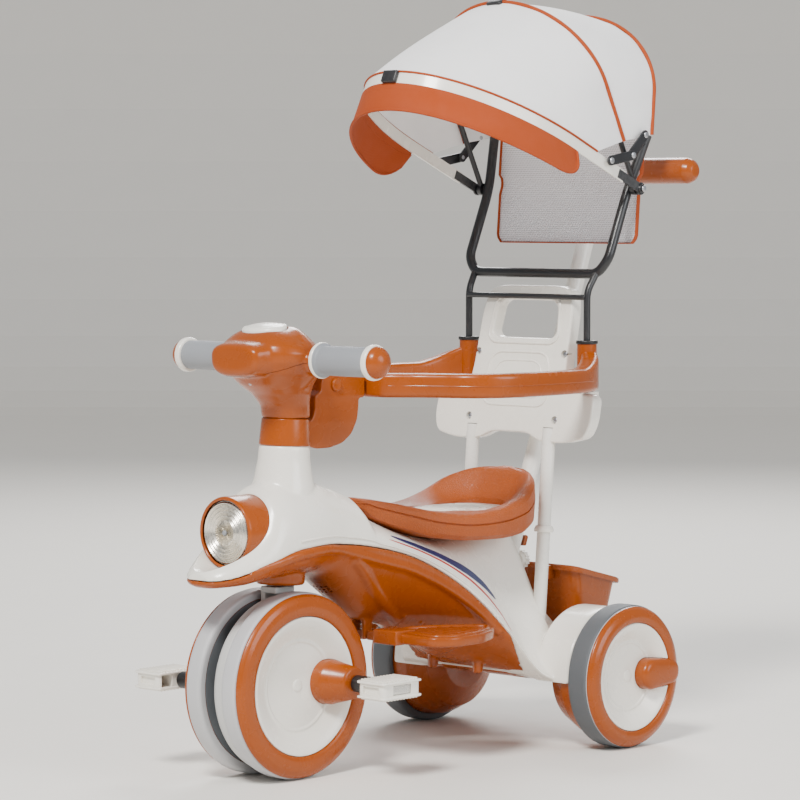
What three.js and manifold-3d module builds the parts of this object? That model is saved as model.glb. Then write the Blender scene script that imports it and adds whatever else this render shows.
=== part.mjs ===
import * as THREE from 'three';
import Module from 'manifold-3d';
import { mergeVertices } from 'three/addons/utils/BufferGeometryUtils.js';

// Children's pedal tricycle with a canopy, a guard rail and a push handle.
// Millimetres, +Z up, -Y forward, +X to the rider's left. Inside this file Y is measured
// from the front axle; the finished group is moved so that the origin lies on the
// ground under the middle of the tricycle.

const wasm = await Module();
wasm.setup();

// ---------- driving dimensions ----------

const ORIGIN_SHIFT_Y = -273.5;
const WHEELBASE = 500;
const GAP = 0.3;
const WALL = 3;
const ROUND = 20;
const SMALL_ROUND = 10;

const FRONT_WHEEL = { radius: 125, half: 46, tyreInner: 20, crest: 56, dishEdge: 93, disc: 59, recess: 43 };
const DRUM = { inner: -4, outer: 19.5, edge: 108, crest: 119 };
const REAR_WHEEL = { radius: 101, inner: 170, outer: 203, crest: 214, dishEdge: 76, disc: 48, recess: 200 };
const AXLE = { radius: 6, bearing: 6.5, frontHalf: 34 };
const REAR_LUG = { near: [39, 22], far: [78, 19] };
const CRANK = { radius: 67, lugY: 53, lugRadius: 30, tipRadius: 21, tipX: 81 };
const PEDAL = { inner: 117, outer: 169, halfLength: 38, halfHeight: 13 };

const STEER_FOOT = new THREE.Vector3(0, 0, 125);
const STEER_TOP = new THREE.Vector3(0, 15, 443);
const BAR = { y: 5, z: 559, tube: 9, grip: 19.5, gripStart: 86, gripEnd: 173, ring: 23.5, end: 190 };
const HEAD_SPLIT = 557;

const HEADLIGHT = { z: 333, front: -97, back: -42, radius: 48, lens: 42 };
const COLLAR = { low: 442.6, tall: 34, radius: 33 };
const STEM = { radius: 11, foot: 256, top: 546 };
const FORK = { x: -11.5, half: 4, top: 255.5, crown: 246.5 };
const FAIRING = { radius: 95, inner: 100, outer: 166.5 };
const FOOTREST = { rod: 5, rodY: 163, rodZ: 177, low: 171, high: 183 };

const BRACKET = { half: 15, front: 58.5, hidden: 70, back: 144, low: 436, high: 539, buttonY: 98,
  buttonZ: 521 };
const RAIL = { low: 501, high: 534, half: 14.5, postX: 112, postY: 510, postTop: 569, postRadius: 14 };
const BACKREST = { lean: 0.23, frontY: 475, atZ: 458, depth: 22 };
const SUPPORT = { x: 72, radius: 9.5, foot: 168, top: 446 };

const PUSH = { radius: 12.5, y: 530, z: 415, lean: 0.374, foot: 196, top: 812, gripHalf: 175, grip: 18.5 };
const BASKET = { low: 152, front: 248, back: 222, wall: 3, lip: 5 };
const PIVOT = { y: 576, z: 786, bolt: 4, eye: 9 };
const FRAME = { tube: 7, leg: 5, brace: 4, x: 132, topX: 145, topY: 603, topZ: 862, crossZ: 665 };
const RIBS = {
  front: { angle: 23.3, start: 0, reach: 382, crown: 230, halfX: 154.8, tilt: 37 },
  mid: { angle: 63.1, start: 0, reach: 289, crown: 125, halfX: 145.5 },
  rear: { angle: 94.8, start: -9, reach: 168, crown: 110, halfX: 145 },
};
const CLOTH = {
  rear: { from: 63.1, to: 100, halfX: 150.2, reach: [293.7, 257.2], crown: [127, 114], start: 95, thick: 2 },
  front: { from: 22.2, to: 62.6, halfX: 156.9, reach: [392.8, 297.5], crown: [239, 130], start: 97,
  thick: 2 },
};
const STAY = { x: 159.4, thick: 1.9, half: 5.5, rear: [580, 862], middle: [548, 833], front: [500, 825] };

const COLOURS = {
  orange: 0xc8642a, ivory: 0xe0dcd2, paleGrey: 0xc4c4c4, grey: 0x8d9196, steel: 0xa9adb0,
  black: 0x1c1d20, fabric: 0xf1f0ee, fabricOrange: 0xe8640c, clear: 0xe9eef0,
};

// ---------- solids ----------

function signedVolume(positions, index) {
  const corner = (i) => new THREE.Vector3().fromArray(positions, 3 * index[i]);
  let total = 0;
  for (let i = 0; i < index.length; i += 3) {
    total += corner(i).dot(corner(i + 1).cross(corner(i + 2))) / 6;
  }
  return total;
}

function toSolid(geometry) {
  const bare = geometry.clone();
  bare.deleteAttribute('normal');
  bare.deleteAttribute('uv');
  const merged = mergeVertices(bare, 1e-3);
  const positions = new Float32Array(merged.attributes.position.array);
  const source = merged.index.array;
  const faces = [];
  for (let i = 0; i < source.length; i += 3) {
    const [a, b, c] = [source[i], source[i + 1], source[i + 2]];
    if (a !== b && b !== c && c !== a) faces.push(a, b, c);
  }
  if (signedVolume(positions, faces) < 0) faces.reverse();
  const mesh = new wasm.Mesh({ numProp: 3, vertProperties: positions, triVerts: new Uint32Array(faces) });
  return new wasm.Manifold(mesh);
}

function toGeometry(solid) {
  const mesh = solid.getMesh();
  const geometry = new THREE.BufferGeometry();
  geometry.setAttribute('position', new THREE.BufferAttribute(new Float32Array(mesh.vertProperties), 3));
  geometry.setIndex(new THREE.BufferAttribute(new Uint32Array(mesh.triVerts), 1));
  geometry.computeVertexNormals();
  return geometry;
}

function join(...geometries) {
  return toGeometry(geometries.map(toSolid).reduce((sum, next) => sum.add(next)));
}

function cut(geometry, ...tools) {
  return toGeometry(tools.map(toSolid).reduce((rest, tool) => rest.subtract(tool), toSolid(geometry)));
}

function box(low, high) {
  const size = high.map((value, i) => value - low[i]);
  const middle = high.map((value, i) => (value + low[i]) / 2);
  return new THREE.BoxGeometry(...size).translate(...middle);
}

// A profile of [distance along the axis, radius] points turned about X.
function latheX(profile, segments = ROUND) {
  const points = profile.map(([along, radius]) => new THREE.Vector2(radius, along));
  const closed = profile[0][1] > 0 || profile[profile.length - 1][1] > 0;
  if (closed) points.push(points[0].clone());
  return new THREE.LatheGeometry(points, segments).rotateZ(-Math.PI / 2);
}

// The same profile turned about the line from one point towards another.
function latheAlong(profile, from, towards, segments = ROUND) {
  const direction = new THREE.Vector3().subVectors(towards, from).normalize();
  const turn = new THREE.Quaternion().setFromUnitVectors(new THREE.Vector3(1, 0, 0), direction);
  return latheX(profile, segments).applyQuaternion(turn).translate(from.x, from.y, from.z);
}

function rod(from, to, radius, segments = SMALL_ROUND) {
  const length = from.distanceTo(to);
  return latheAlong([[0, 0], [0, radius], [length, radius], [length, 0]], from, to, segments);
}

// Closed rings of equal length joined into one skin, with fan ends.
function loft(rings) {
  const count = rings[0].length;
  const positions = rings.flat().flatMap((point) => point.toArray());
  const index = [];
  for (let r = 0; r + 1 < rings.length; r += 1) {
    for (let i = 0; i < count; i += 1) {
      const next = (i + 1) % count;
      const [a, b, c, d] = [r * count + i, r * count + next, (r + 1) * count + next, (r + 1) * count + i];
      index.push(a, b, c, a, c, d);
    }
  }
  const addCap = (ring, base, flip) => {
    const middle = ring.reduce((sum, point) => sum.add(point), new THREE.Vector3()).divideScalar(count);
    const centre = positions.length / 3;
    positions.push(...middle.toArray());
    for (let i = 0; i < count; i += 1) {
      const next = (i + 1) % count;
      if (flip) index.push(centre, base + next, base + i);
      else index.push(centre, base + i, base + next);
    }
  };
  addCap(rings[0], 0, true);
  addCap(rings[rings.length - 1], (rings.length - 1) * count, false);
  return plain(positions, index);
}

function plain(positions, index) {
  const geometry = new THREE.BufferGeometry();
  geometry.setAttribute('position', new THREE.Float32BufferAttribute(positions, 3));
  geometry.setIndex(index);
  geometry.computeVertexNormals();
  return geometry;
}

// Two grids of points, the two faces of a sheet, closed round their border.
function thickSheet(outer, inner) {
  const rows = outer.length;
  const columns = outer[0].length;
  const positions = [...outer.flat(), ...inner.flat()].flatMap((point) => point.toArray());
  const at = (side, r, c) => side * rows * columns + r * columns + c;
  const index = [];
  const quad = (a, b, c, d) => index.push(a, b, c, a, c, d);
  for (let r = 0; r + 1 < rows; r += 1) {
    for (let c = 0; c + 1 < columns; c += 1) {
      quad(at(0, r, c), at(0, r, c + 1), at(0, r + 1, c + 1), at(0, r + 1, c));
      quad(at(1, r, c), at(1, r + 1, c), at(1, r + 1, c + 1), at(1, r, c + 1));
    }
    quad(at(0, r, 0), at(0, r + 1, 0), at(1, r + 1, 0), at(1, r, 0));
    quad(at(0, r + 1, columns - 1), at(0, r, columns - 1), at(1, r, columns - 1), at(1, r + 1, columns - 1));
  }
  for (let c = 0; c + 1 < columns; c += 1) {
    quad(at(0, 0, c + 1), at(0, 0, c), at(1, 0, c), at(1, 0, c + 1));
    quad(at(0, rows - 1, c), at(0, rows - 1, c + 1), at(1, rows - 1, c + 1), at(1, rows - 1, c));
  }
  return plain(positions, index);
}

// A polyline with its corners rounded, as one path.
function bentPath(corners, bend) {
  const points = corners.map((corner) => new THREE.Vector3(...corner));
  const path = new THREE.CurvePath();
  let start = points[0];
  for (let i = 1; i + 1 < points.length; i += 1) {
    const before = new THREE.Vector3().subVectors(points[i - 1], points[i]);
    const after = new THREE.Vector3().subVectors(points[i + 1], points[i]);
    const reach = Math.min(bend, before.length() / 2.2, after.length() / 2.2);
    const enter = before.setLength(reach).add(points[i]);
    const leave = after.setLength(reach).add(points[i]);
    path.add(new THREE.LineCurve3(start, enter));
    path.add(new THREE.QuadraticBezierCurve3(enter, points[i], leave));
    start = leave;
  }
  path.add(new THREE.LineCurve3(start, points[points.length - 1]));
  return path;
}

function tube(corners, radius, bend, steps) {
  const section = new THREE.Shape().absarc(0, 0, radius, 0, 2 * Math.PI);
  const options = { steps, curveSegments: 4, extrudePath: bentPath(corners, bend) };
  return new THREE.ExtrudeGeometry(section, options);
}

// A flat outline of [across, up] points with rounded corners.
function roundedOutline(points, radius) {
  const corners = points.map(([x, y]) => new THREE.Vector2(x, y));
  const shape = new THREE.Shape();
  corners.forEach((corner, i) => {
    const before = corners[(i + corners.length - 1) % corners.length].clone().sub(corner);
    const after = corners[(i + 1) % corners.length].clone().sub(corner);
    const reach = Math.min(radius, before.length() / 2.2, after.length() / 2.2);
    const enter = before.setLength(reach).add(corner);
    const leave = after.setLength(reach).add(corner);
    if (i === 0) shape.moveTo(enter.x, enter.y);
    else shape.lineTo(enter.x, enter.y);
    shape.quadraticCurveTo(corner.x, corner.y, leave.x, leave.y);
  });
  shape.closePath();
  return shape;
}

const mirrored = (half) => [...half, ...half.slice().reverse().map(([x, y]) => [-x, y])];

// A smooth curve through [position, value] pairs that never overshoots them.
function smooth(pairs) {
  const slope = pairs.map((pair, i) => {
    if (i === 0 || i === pairs.length - 1) return 0;
    const left = (pair[1] - pairs[i - 1][1]) / (pair[0] - pairs[i - 1][0]);
    const right = (pairs[i + 1][1] - pair[1]) / (pairs[i + 1][0] - pair[0]);
    return left * right <= 0 ? 0 : (2 * left * right) / (left + right);
  });
  return (position) => {
    if (position <= pairs[0][0]) return pairs[0][1];
    const i = pairs.findIndex((pair) => pair[0] >= position);
    if (i < 0) return pairs[pairs.length - 1][1];
    const [x0, y0] = pairs[i - 1];
    const [x1, y1] = pairs[i];
    const span = x1 - x0;
    const t = (position - x0) / span;
    const rise = y1 - y0;
    return y0 + t * (span * slope[i - 1] + t * (3 * rise - span * (2 * slope[i - 1] + slope[i])
      + t * (span * (slope[i - 1] + slope[i]) - 2 * rise)));
  };
}

// A point on the steering axis at a height.
function steerAt(z) {
  const share = (z - STEER_FOOT.z) / (STEER_TOP.z - STEER_FOOT.z);
  return new THREE.Vector3().lerpVectors(STEER_FOOT, STEER_TOP, share);
}

const supportAt = (sign, z) => new THREE.Vector3(sign * SUPPORT.x, 457 + (z - 216) * 0.08, z);
const pushAt = (z) => new THREE.Vector3(0, PUSH.y + (z - PUSH.z) * PUSH.lean, z);

// ---------- the scene graph ----------

const tricycle = new THREE.Group();
tricycle.position.y = ORIGIN_SHIFT_Y;

function add(name, geometry, colour, roughness = 0.45, metalness = 0) {
  const material = new THREE.MeshStandardMaterial({ color: COLOURS[colour], roughness, metalness });
  const mesh = new THREE.Mesh(toGeometry(toSolid(geometry)), material);
  mesh.name = name;
  tricycle.add(mesh);
  return mesh;
}

const SIDES = [['left', 1], ['right', -1]];
const mirrorX = (geometry) => geometry.clone().scale(-1, 1, 1);
const onSide = (geometry, sign) => (sign > 0 ? geometry : mirrorX(geometry));

// ---------- body shells ----------

const BODY_START = -150;
const BODY_END = 556;
const seamWidth = smooth([[-150, 8], [-141, 26], [-120, 42], [-90, 56], [-50, 65], [0, 67], [80, 62],
  [180, 66],
  [240, 76], [300, 92], [340, 106], [370, 122], [400, 142], [440, 160], [480, 165], [556, 163]]);
const seamHeight = smooth([[-150, 275], [-120, 275], [-100, 286], [-60, 299], [-15, 309], [35, 312], [85,
  308],
  [135, 300], [190, 286], [240, 263], [290, 229], [332, 188], [355, 159], [375, 127], [395, 104], [420,
  96], [556, 96]]);
const crownHeight = smooth([[-150, 280], [-135, 288], [-110, 293], [-64, 298], [-56, 372], [-45, 388],
  [-20, 396],
  [40, 396], [73, 387], [105, 377], [123, 369], [133, 350], [160, 335], [200, 319], [240, 308], [290, 300],
  [440, 297], [453, 290], [464, 250], [480, 222], [500, 190], [520, 146], [556, 122]]);
const crownWidth = smooth([[-150, 3], [-120, 18], [-70, 34], [0, 40], [80, 30], [130, 24], [200, 36],
  [300, 50],
  [440, 46], [460, 40], [500, 60], [556, 92]]);
const flank = smooth([[-150, 1], [200, 1], [260, 0.92], [320, 0.72], [380, 0.5], [440, 0.4], [556, 0.6]]);
const shoulder = smooth([[-150, 0.6], [200, 0.55], [320, 0.4], [400, 0.22], [556, 0.3]]);
const keelHeight = smooth([[-150, 269], [-135, 263], [-100, 263], [-60, 267], [-20, 271], [30, 272], [55,
  264],
  [82, 243], [108, 223], [131, 206], [150, 196], [175, 190], [200, 184], [215, 178], [262, 161], [330, 125],
  [387, 108], [452, 90], [556, 87]]);
const keelWidth = smooth([[-150, 0.8], [20, 0.75], [80, 0.4], [180, 0.32], [330, 0.4], [420, 0.85], [556,
  0.9]]);
const lowerWidth = (y) => (y < 350 ? seamWidth(y) : Math.min(seamWidth(y), 111 - 11 * Math.min(1,
  (y - 350) / 50)));

const STATIONS = [-150, -140, -118, -80, -62, -54, -40, -10, 40, 90, 123, 135, 175, 220, 265, 310, 350,
  385, 440,
  456, 466, 484, 510, 556];
const HALF_POINTS = 5;

function halfArc(points) {
  const curve = new THREE.CubicBezierCurve(...points.map(([x, z]) => new THREE.Vector2(x, z)));
  return curve.getPoints(HALF_POINTS);
}

function ringAt(y, points) {
  const half = halfArc(points);
  const other = half.slice(0, -1).reverse().map((point) => new THREE.Vector2(-point.x, point.y));
  return [...half, ...other].map((point) => new THREE.Vector3(point.x, y, point.y));
}

// Upper half-section: from the seam up over the crown.
function upperRing(y, inset, drop) {
  const reach = inset > 0 ? 4 : 0;
  const width = seamWidth(y) - inset;
  const low = seamHeight(y) + GAP / 2;
  const high = Math.min(crownHeight(y - reach), crownHeight(y), crownHeight(y + reach)) - inset;
  const tall = high - low;
  const flat = Math.min(crownWidth(y) - inset, width * 0.95);
  return ringAt(y, [[width, low - drop], [width * flank(y), low + tall * shoulder(y)], [flat, high], [0,
    high]]);
}

// Lower half-section: from the seam down round the keel.
function lowerRing(y, inset, lift) {
  const width = lowerWidth(y) - inset;
  const high = seamHeight(y) - GAP / 2;
  const low = Math.max(keelHeight(y - inset), keelHeight(y), keelHeight(y + inset)) + inset;
  const tall = Math.max(high - low, 1);
  return ringAt(y, [[width, high + lift], [width * 0.97, high - tall * 0.45], [width * keelWidth(y), low],
    [0, low]]);
}

const innerStations = STATIONS.filter((y) => y > -140 && y < BODY_END).concat(BODY_END - WALL);
const axleCentre = (x) => new THREE.Vector3(x, WHEELBASE, REAR_WHEEL.radius);
function fairing(radius, inner, outer) {
  const disc = rod(axleCentre(inner), axleCentre(outer), radius, ROUND);
  return cut(disc, box([0, 300, -50], [220, 700, seamHeight(480) + GAP / 2]));
}

function upperShell() {
  const neckProfile = (inset) => [[0, 0], [0, 62 - inset], [14, 52 - inset], [30, 39 - inset], [52,
    33.5 - inset],
    [72, 31 - inset], [72, 0]];
  const base = steerAt(370);
  const neck = latheAlong(neckProfile(0), base, STEER_TOP);
  const neckHollow = latheAlong(neckProfile(WALL), base, STEER_TOP).translate(0, 0, -WALL);
  const neckMouth = rod(steerAt(430), steerAt(450), STEM.radius + 2 * GAP, ROUND);
  const skin = loft(STATIONS.map((y) => upperRing(y, 0, 0)));
  const hollow = loft(innerStations.map((y) => upperRing(y, WALL, 12)));
  const fairings = SIDES.map(([, sign]) => onSide(fairing(FAIRING.radius, FAIRING.inner, FAIRING.outer),
    sign));
  const domeRooms = SIDES.map(([, sign]) => onSide(
    rod(axleCentre(FAIRING.inner + WALL), axleCentre(FAIRING.outer + 40), FAIRING.radius - WALL, ROUND),
    sign));
  const lampRoom = rod(new THREE.Vector3(0, -160, HEADLIGHT.z), new THREE.Vector3(0, -38, HEADLIGHT.z),
    HEADLIGHT.radius + GAP, ROUND);
  const socket = rod(pushAt(200), pushAt(262), PUSH.radius + 6, 16);
  const socketBore = rod(pushAt(150), pushAt(300), PUSH.radius + GAP, 16);
  const tubeBores = SIDES.map(([, sign]) => rod(supportAt(sign, 130), supportAt(sign, 330),
    SUPPORT.radius + GAP));
  const axleBore = rod(axleCentre(-180), axleCentre(180), 8);
  const shell = cut(join(skin, neck, ...fairings), hollow, neckHollow, neckMouth, ...domeRooms, lampRoom);
  return cut(join(shell, socket), socketBore, axleBore, ...tubeBores);
}

function lowerShell() {
  const skin = loft(STATIONS.map((y) => lowerRing(y, 0, 0)));
  const hollow = loft(innerStations.map((y) => lowerRing(y, WALL, 12)));
  const boss = rod(steerAt(257), steerAt(292), 33, ROUND);
  const stemBore = rod(steerAt(240), steerAt(330), 20, ROUND);
  const ears = SIDES.map(([, sign]) => box([sign * 11 - 3, 154, 170], [sign * 11 + 3, 172, 197]));
  const earBore = rod(new THREE.Vector3(-30, FOOTREST.rodY, FOOTREST.rodZ),
    new THREE.Vector3(30, FOOTREST.rodY, FOOTREST.rodZ), FOOTREST.rod + 2 * GAP);
  const axleBore = rod(axleCentre(-130), axleCentre(130), 6 + GAP);
  const bearings = SIDES.map(([, sign]) => onSide(box([80, WHEELBASE - 14, 89], [97, WHEELBASE + 13,
    112]), sign));
  const shell = join(cut(skin, hollow), boss, ...ears, ...bearings);
  return cut(shell, stemBore, earBore, axleBore);
}

function footrest() {
  const half = [[0, 154], [136, 158], [156, 190], [154, 242], [138, 282], [112, 312], [98, 306], [80, 284],
    [60, 262], [44, 236], [32, 206], [24, 182], [0, 182]];
  const plate = new THREE.ExtrudeGeometry(roundedOutline(mirrored(half.slice(1, -1)), 14),
    { depth: FOOTREST.high - FOOTREST.low, bevelEnabled: false, curveSegments: 2 });
  plate.translate(0, 0, FOOTREST.low);
  const notches = SIDES.map(([, sign]) => box([sign * 11 - 4.5, 140, 160], [sign * 11 + 4.5, 176, 190]));
  const pin = rod(new THREE.Vector3(-30, FOOTREST.rodY, FOOTREST.rodZ),
    new THREE.Vector3(30, FOOTREST.rodY, FOOTREST.rodZ), FOOTREST.rod, 12);
  return join(cut(plate, ...notches), pin);
}

add('upper_shell', upperShell(), 'ivory', 0.35);
add('lower_shell', lowerShell(), 'orange');
add('footrest', footrest(), 'orange');

// ---------- seat ----------

const seatWidth = smooth([[126, 8], [136, 24], [160, 42], [200, 66], [240, 84], [290, 98], [340, 105],
  [390, 103],
  [420, 92], [445, 70], [460, 42], [468, 16]]);
const seatRim = smooth([[126, 366], [160, 362], [200, 353], [240, 344], [290, 339], [340, 343], [390,
  355], [430, 376],
  [468, 389]]);
const seatDish = smooth([[126, 368], [160, 362], [217, 350], [300, 339], [380, 333], [423, 337], [445,
  352], [468, 382]]);
const seatFloor = smooth([[126, 356], [160, 334], [200, 318], [240, 306], [290, 300], [468, 298]]);
const SEAT_STATIONS = [126, 136, 160, 200, 240, 290, 340, 390, 420, 445, 460, 468];

function seatRing(y) {
  const width = seatWidth(y);
  const rim = seatRim(y);
  const dish = Math.min(seatDish(y), rim);
  const floor = seatFloor(y);
  const side = (rim + floor) / 2;
  const half = [[0.45 * width, dish + 0.15 * (rim - dish)], [0.78 * width, rim - 3], [0.93 * width, rim - 4],
    [width, side], [0.93 * width, floor + 4], [0.8 * width, floor]];
  const ring = [[0, dish], ...half, [0, floor], ...half.slice().reverse().map(([x, z]) => [-x, z])];
  return ring.map(([x, z]) => new THREE.Vector3(x, y, z));
}

const seat = loft(SEAT_STATIONS.map(seatRing));
const insertOutline = roundedOutline([[-26, 225], [26, 225], [44, 300], [48, 380], [30, 422], [-30, 422],
  [-48, 380],
  [-44, 300]], 30);
const insertPlug = new THREE.ExtrudeGeometry(insertOutline, { depth: 40, bevelEnabled: false,
  curveSegments: 3 });
insertPlug.translate(0, 0, 325);
const bodyRoom = loft(STATIONS.filter((y) => y > 60).map((y) => upperRing(y, -GAP, 20)));
add('seat', cut(seat, insertPlug, bodyRoom), 'orange', 0.55);
const insertBlank = new THREE.ExtrudeGeometry(insertOutline, { depth: 7, bevelEnabled: false,
  curveSegments: 3 });
insertBlank.scale(0.985, 1, 1).translate(0, 0, 325.3);
add('seat_insert', insertBlank, 'ivory', 0.5);

// ---------- headlight ----------

const lampAxis = (profile) => latheAlong(profile, new THREE.Vector3(0, HEADLIGHT.front, HEADLIGHT.z),
  new THREE.Vector3(0, 0, HEADLIGHT.z));
const lampDepth = HEADLIGHT.back - HEADLIGHT.front;
add('headlight_housing', lampAxis([[0, HEADLIGHT.lens + 1], [0, HEADLIGHT.radius - 2], [2, HEADLIGHT.radius],
  [lampDepth, HEADLIGHT.radius], [lampDepth, 0], [lampDepth - WALL, 0], [lampDepth - WALL,
  HEADLIGHT.lens + 1]]),
'orange');
add('headlight_reflector', lampAxis([[5, HEADLIGHT.lens], [8, HEADLIGHT.lens], [26, 22], [34, 8], [34, 0],
  [30, 0],
  [30, 6], [23, 20]]), 'steel', 0.2, 0.9);
add('headlight_lens', lampAxis([[0, 0], [0.6, HEADLIGHT.lens - 12], [1.6, HEADLIGHT.lens], [4.4,
  HEADLIGHT.lens],
  [4.4, 0]]), 'clear', 0.1);

// ---------- steering column, fork and bush ----------

add('steering_stem', rod(steerAt(STEM.foot), steerAt(STEM.top), STEM.radius), 'steel', 0.35, 0.9);

function fork() {
  const outline = new THREE.Shape().absarc(0, FRONT_WHEEL.radius, 17, Math.PI, 2 * Math.PI);
  outline.lineTo(15, FORK.crown + 4);
  outline.lineTo(-15, FORK.crown + 4);
  const blade = new THREE.ExtrudeGeometry(outline, { depth: 2 * FORK.half, bevelEnabled: false,
    curveSegments: 12 });
  blade.rotateX(Math.PI / 2).rotateZ(Math.PI / 2).translate(FORK.x - FORK.half, 0, 0);
  const crown = box([FORK.x - FORK.half, -16, FORK.crown], [14, 20, FORK.top]);
  const axleHole = rod(new THREE.Vector3(-40, 0, FRONT_WHEEL.radius), new THREE.Vector3(20, 0,
    FRONT_WHEEL.radius), 6.5);
  return cut(join(blade, crown), axleHole);
}

add('fork', fork(), 'paleGrey');

// ---------- handlebar head ----------

const headSections = [[479.2, 31, 31, 18], [497, 31.5, 32, 16], [512, 36, 40, 8], [526, 46, 51, -3], [541,
  60, 57, -6],
  [560, 68, 59, -8], [580, 64, 53, -9], [594, 50, 41, -10], [603, 30, 26, -12], [606, 13, 12, -13]];
const HEAD_ROUND = 20;

function headRing([z, halfX, halfY, y]) {
  return Array.from({ length: HEAD_ROUND }, (_, i) => {
    const angle = (2 * Math.PI * i) / HEAD_ROUND;
    return new THREE.Vector3(halfX * Math.cos(angle), y + halfY * Math.sin(angle), z);
  });
}

const barAt = (x) => new THREE.Vector3(x, BAR.y, BAR.z);
const STUB = BAR.gripStart - 9;

function headHalf(low, high) {
  const stubs = rod(barAt(-STUB + GAP), barAt(STUB - GAP), 21.5, ROUND);
  const whole = join(loft(headSections.map(headRing)), stubs);
  const barBore = rod(barAt(-120), barAt(120), BAR.tube + GAP);
  const stemBore = rod(steerAt(470), steerAt(STEM.top + 1), STEM.radius + GAP);
  const button = rod(new THREE.Vector3(0, -12, 590), new THREE.Vector3(0, -12, 620), 27.4, ROUND);
  const keep = box([-120, -120, low], [120, 120, high]);
  const trimmed = toGeometry(toSolid(whole).intersect(toSolid(keep)));
  return cut(trimmed, barBore, stemBore, button);
}

add('head_cover_lower', headHalf(470, HEAD_SPLIT - GAP / 2), 'orange');
add('head_cover_upper', headHalf(HEAD_SPLIT + GAP / 2, 620), 'orange');
add('horn_button', latheAlong([[0, 0], [0, 27], [9, 27], [13.5, 20], [16, 0]], new THREE.Vector3(0, -12,
  593.4),
  new THREE.Vector3(0, -12, 700)), 'ivory', 0.35);
add('handlebar_tube', rod(barAt(-BAR.end + 12), barAt(BAR.end - 12), BAR.tube), 'steel', 0.35, 0.9);

for (const [name, sign] of SIDES) {
  const shift = (profile) => onSide(latheX(profile).translate(0, BAR.y, BAR.z), sign);
  const bore = BAR.tube + GAP;
  add(`grip_${name}`, shift([[BAR.gripStart - 9, bore], [BAR.gripStart - 9, 23], [BAR.gripStart, 23],
    [BAR.gripStart, BAR.grip], [BAR.gripEnd, BAR.grip], [BAR.gripEnd, bore]]), 'grey', 0.8);
  add(`bar_end_${name}`, shift([[BAR.gripEnd + GAP, bore], [BAR.gripEnd + GAP, BAR.ring - 1],
    [BAR.gripEnd + 3, BAR.ring], [BAR.gripEnd + 8, BAR.ring - 1], [BAR.gripEnd + 8.5, 20.5], [BAR.end - 4,
    16],
    [BAR.end - 1, 9], [BAR.end, 0], [BAR.end - 11, 0], [BAR.end - 11, bore]]), 'orange');
}

// ---------- front wheel ----------

const frontAxle = (x) => new THREE.Vector3(x, 0, FRONT_WHEEL.radius);

// The lug that carries the pedal: a blunt cone standing off centre on the wheel.
function pedalLug(extra, from) {
  const base = new THREE.Vector3(from, CRANK.lugY, FRONT_WHEEL.radius);
  const shoulderPoint = new THREE.Vector3(FRONT_WHEEL.recess + 8, CRANK.lugY + 3, FRONT_WHEEL.radius);
  const tip = new THREE.Vector3(CRANK.tipX, CRANK.radius, FRONT_WHEEL.radius);
  const ring = (centre, radius) => Array.from({ length: 20 }, (_, i) => {
    const angle = (2 * Math.PI * i) / 20;
    return new THREE.Vector3(centre.x, centre.y + radius * Math.cos(angle),
      centre.z + radius * Math.sin(angle));
  });
  return loft([ring(base, CRANK.lugRadius + extra), ring(shoulderPoint, CRANK.lugRadius + extra),
    ring(tip, CRANK.tipRadius + extra)]);
}

function frontWheelHalf() {
  const { radius, half, tyreInner, crest, dishEdge, disc, recess } = FRONT_WHEEL;
  const lift = (geometry) => geometry.translate(0, 0, radius);
  const tyre = lift(latheX([[tyreInner, 113], [tyreInner, radius - 3], [tyreInner + 3, radius], [half - 5,
    radius],
    [half, radius - 3], [half, 113]]));
  const web = recess - 6;
  const rim = lift(latheX([[tyreInner + 1, 6.5], [tyreInner + 1, 14], [web - 3, 20], [web - 3, 100],
    [tyreInner + 1, 104],
    [tyreInner + 1, 112.6], [half + GAP, 112.6], [half + GAP, radius - 2], [crest - 3, 118], [crest, 106],
    [crest - 2, dishEdge + GAP], [web, dishEdge + GAP], [web, 6.5]]));
  const lugHole = rod(new THREE.Vector3(30, CRANK.radius, radius), new THREE.Vector3(90, CRANK.radius,
    radius), 5 + GAP);
  const body = cut(join(rim, pedalLug(0, web - 1)), lugHole);
  const dish = lift(latheX([[web + GAP, 0], [web + GAP, dishEdge - 1], [crest - 3, dishEdge - 1],
    [recess + 2, disc + 8],
    [recess, disc], [recess, 0]]));
  const dishCut = cut(dish, pedalLug(0.6, web - 4));
  const spindle = latheAlong([[0, 0], [0, 5], [CRANK.tipX - 40 + 1.5, 5], [CRANK.tipX - 40 + 1.5, 11.5],
    [PEDAL.inner - 42, 11.5], [PEDAL.inner - 42, 5], [PEDAL.outer - 50, 5], [PEDAL.outer - 50, 0]],
  new THREE.Vector3(40, CRANK.radius, radius), new THREE.Vector3(200, CRANK.radius, radius), SMALL_ROUND);
  return { front_tyre: [tyre, 'paleGrey', 0.7], front_wheel: [body, 'orange', 0.4], front_dish: [dishCut,
    'ivory', 0.4],
    pedal_spindle: [spindle, 'black', 0.5] };
}

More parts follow.
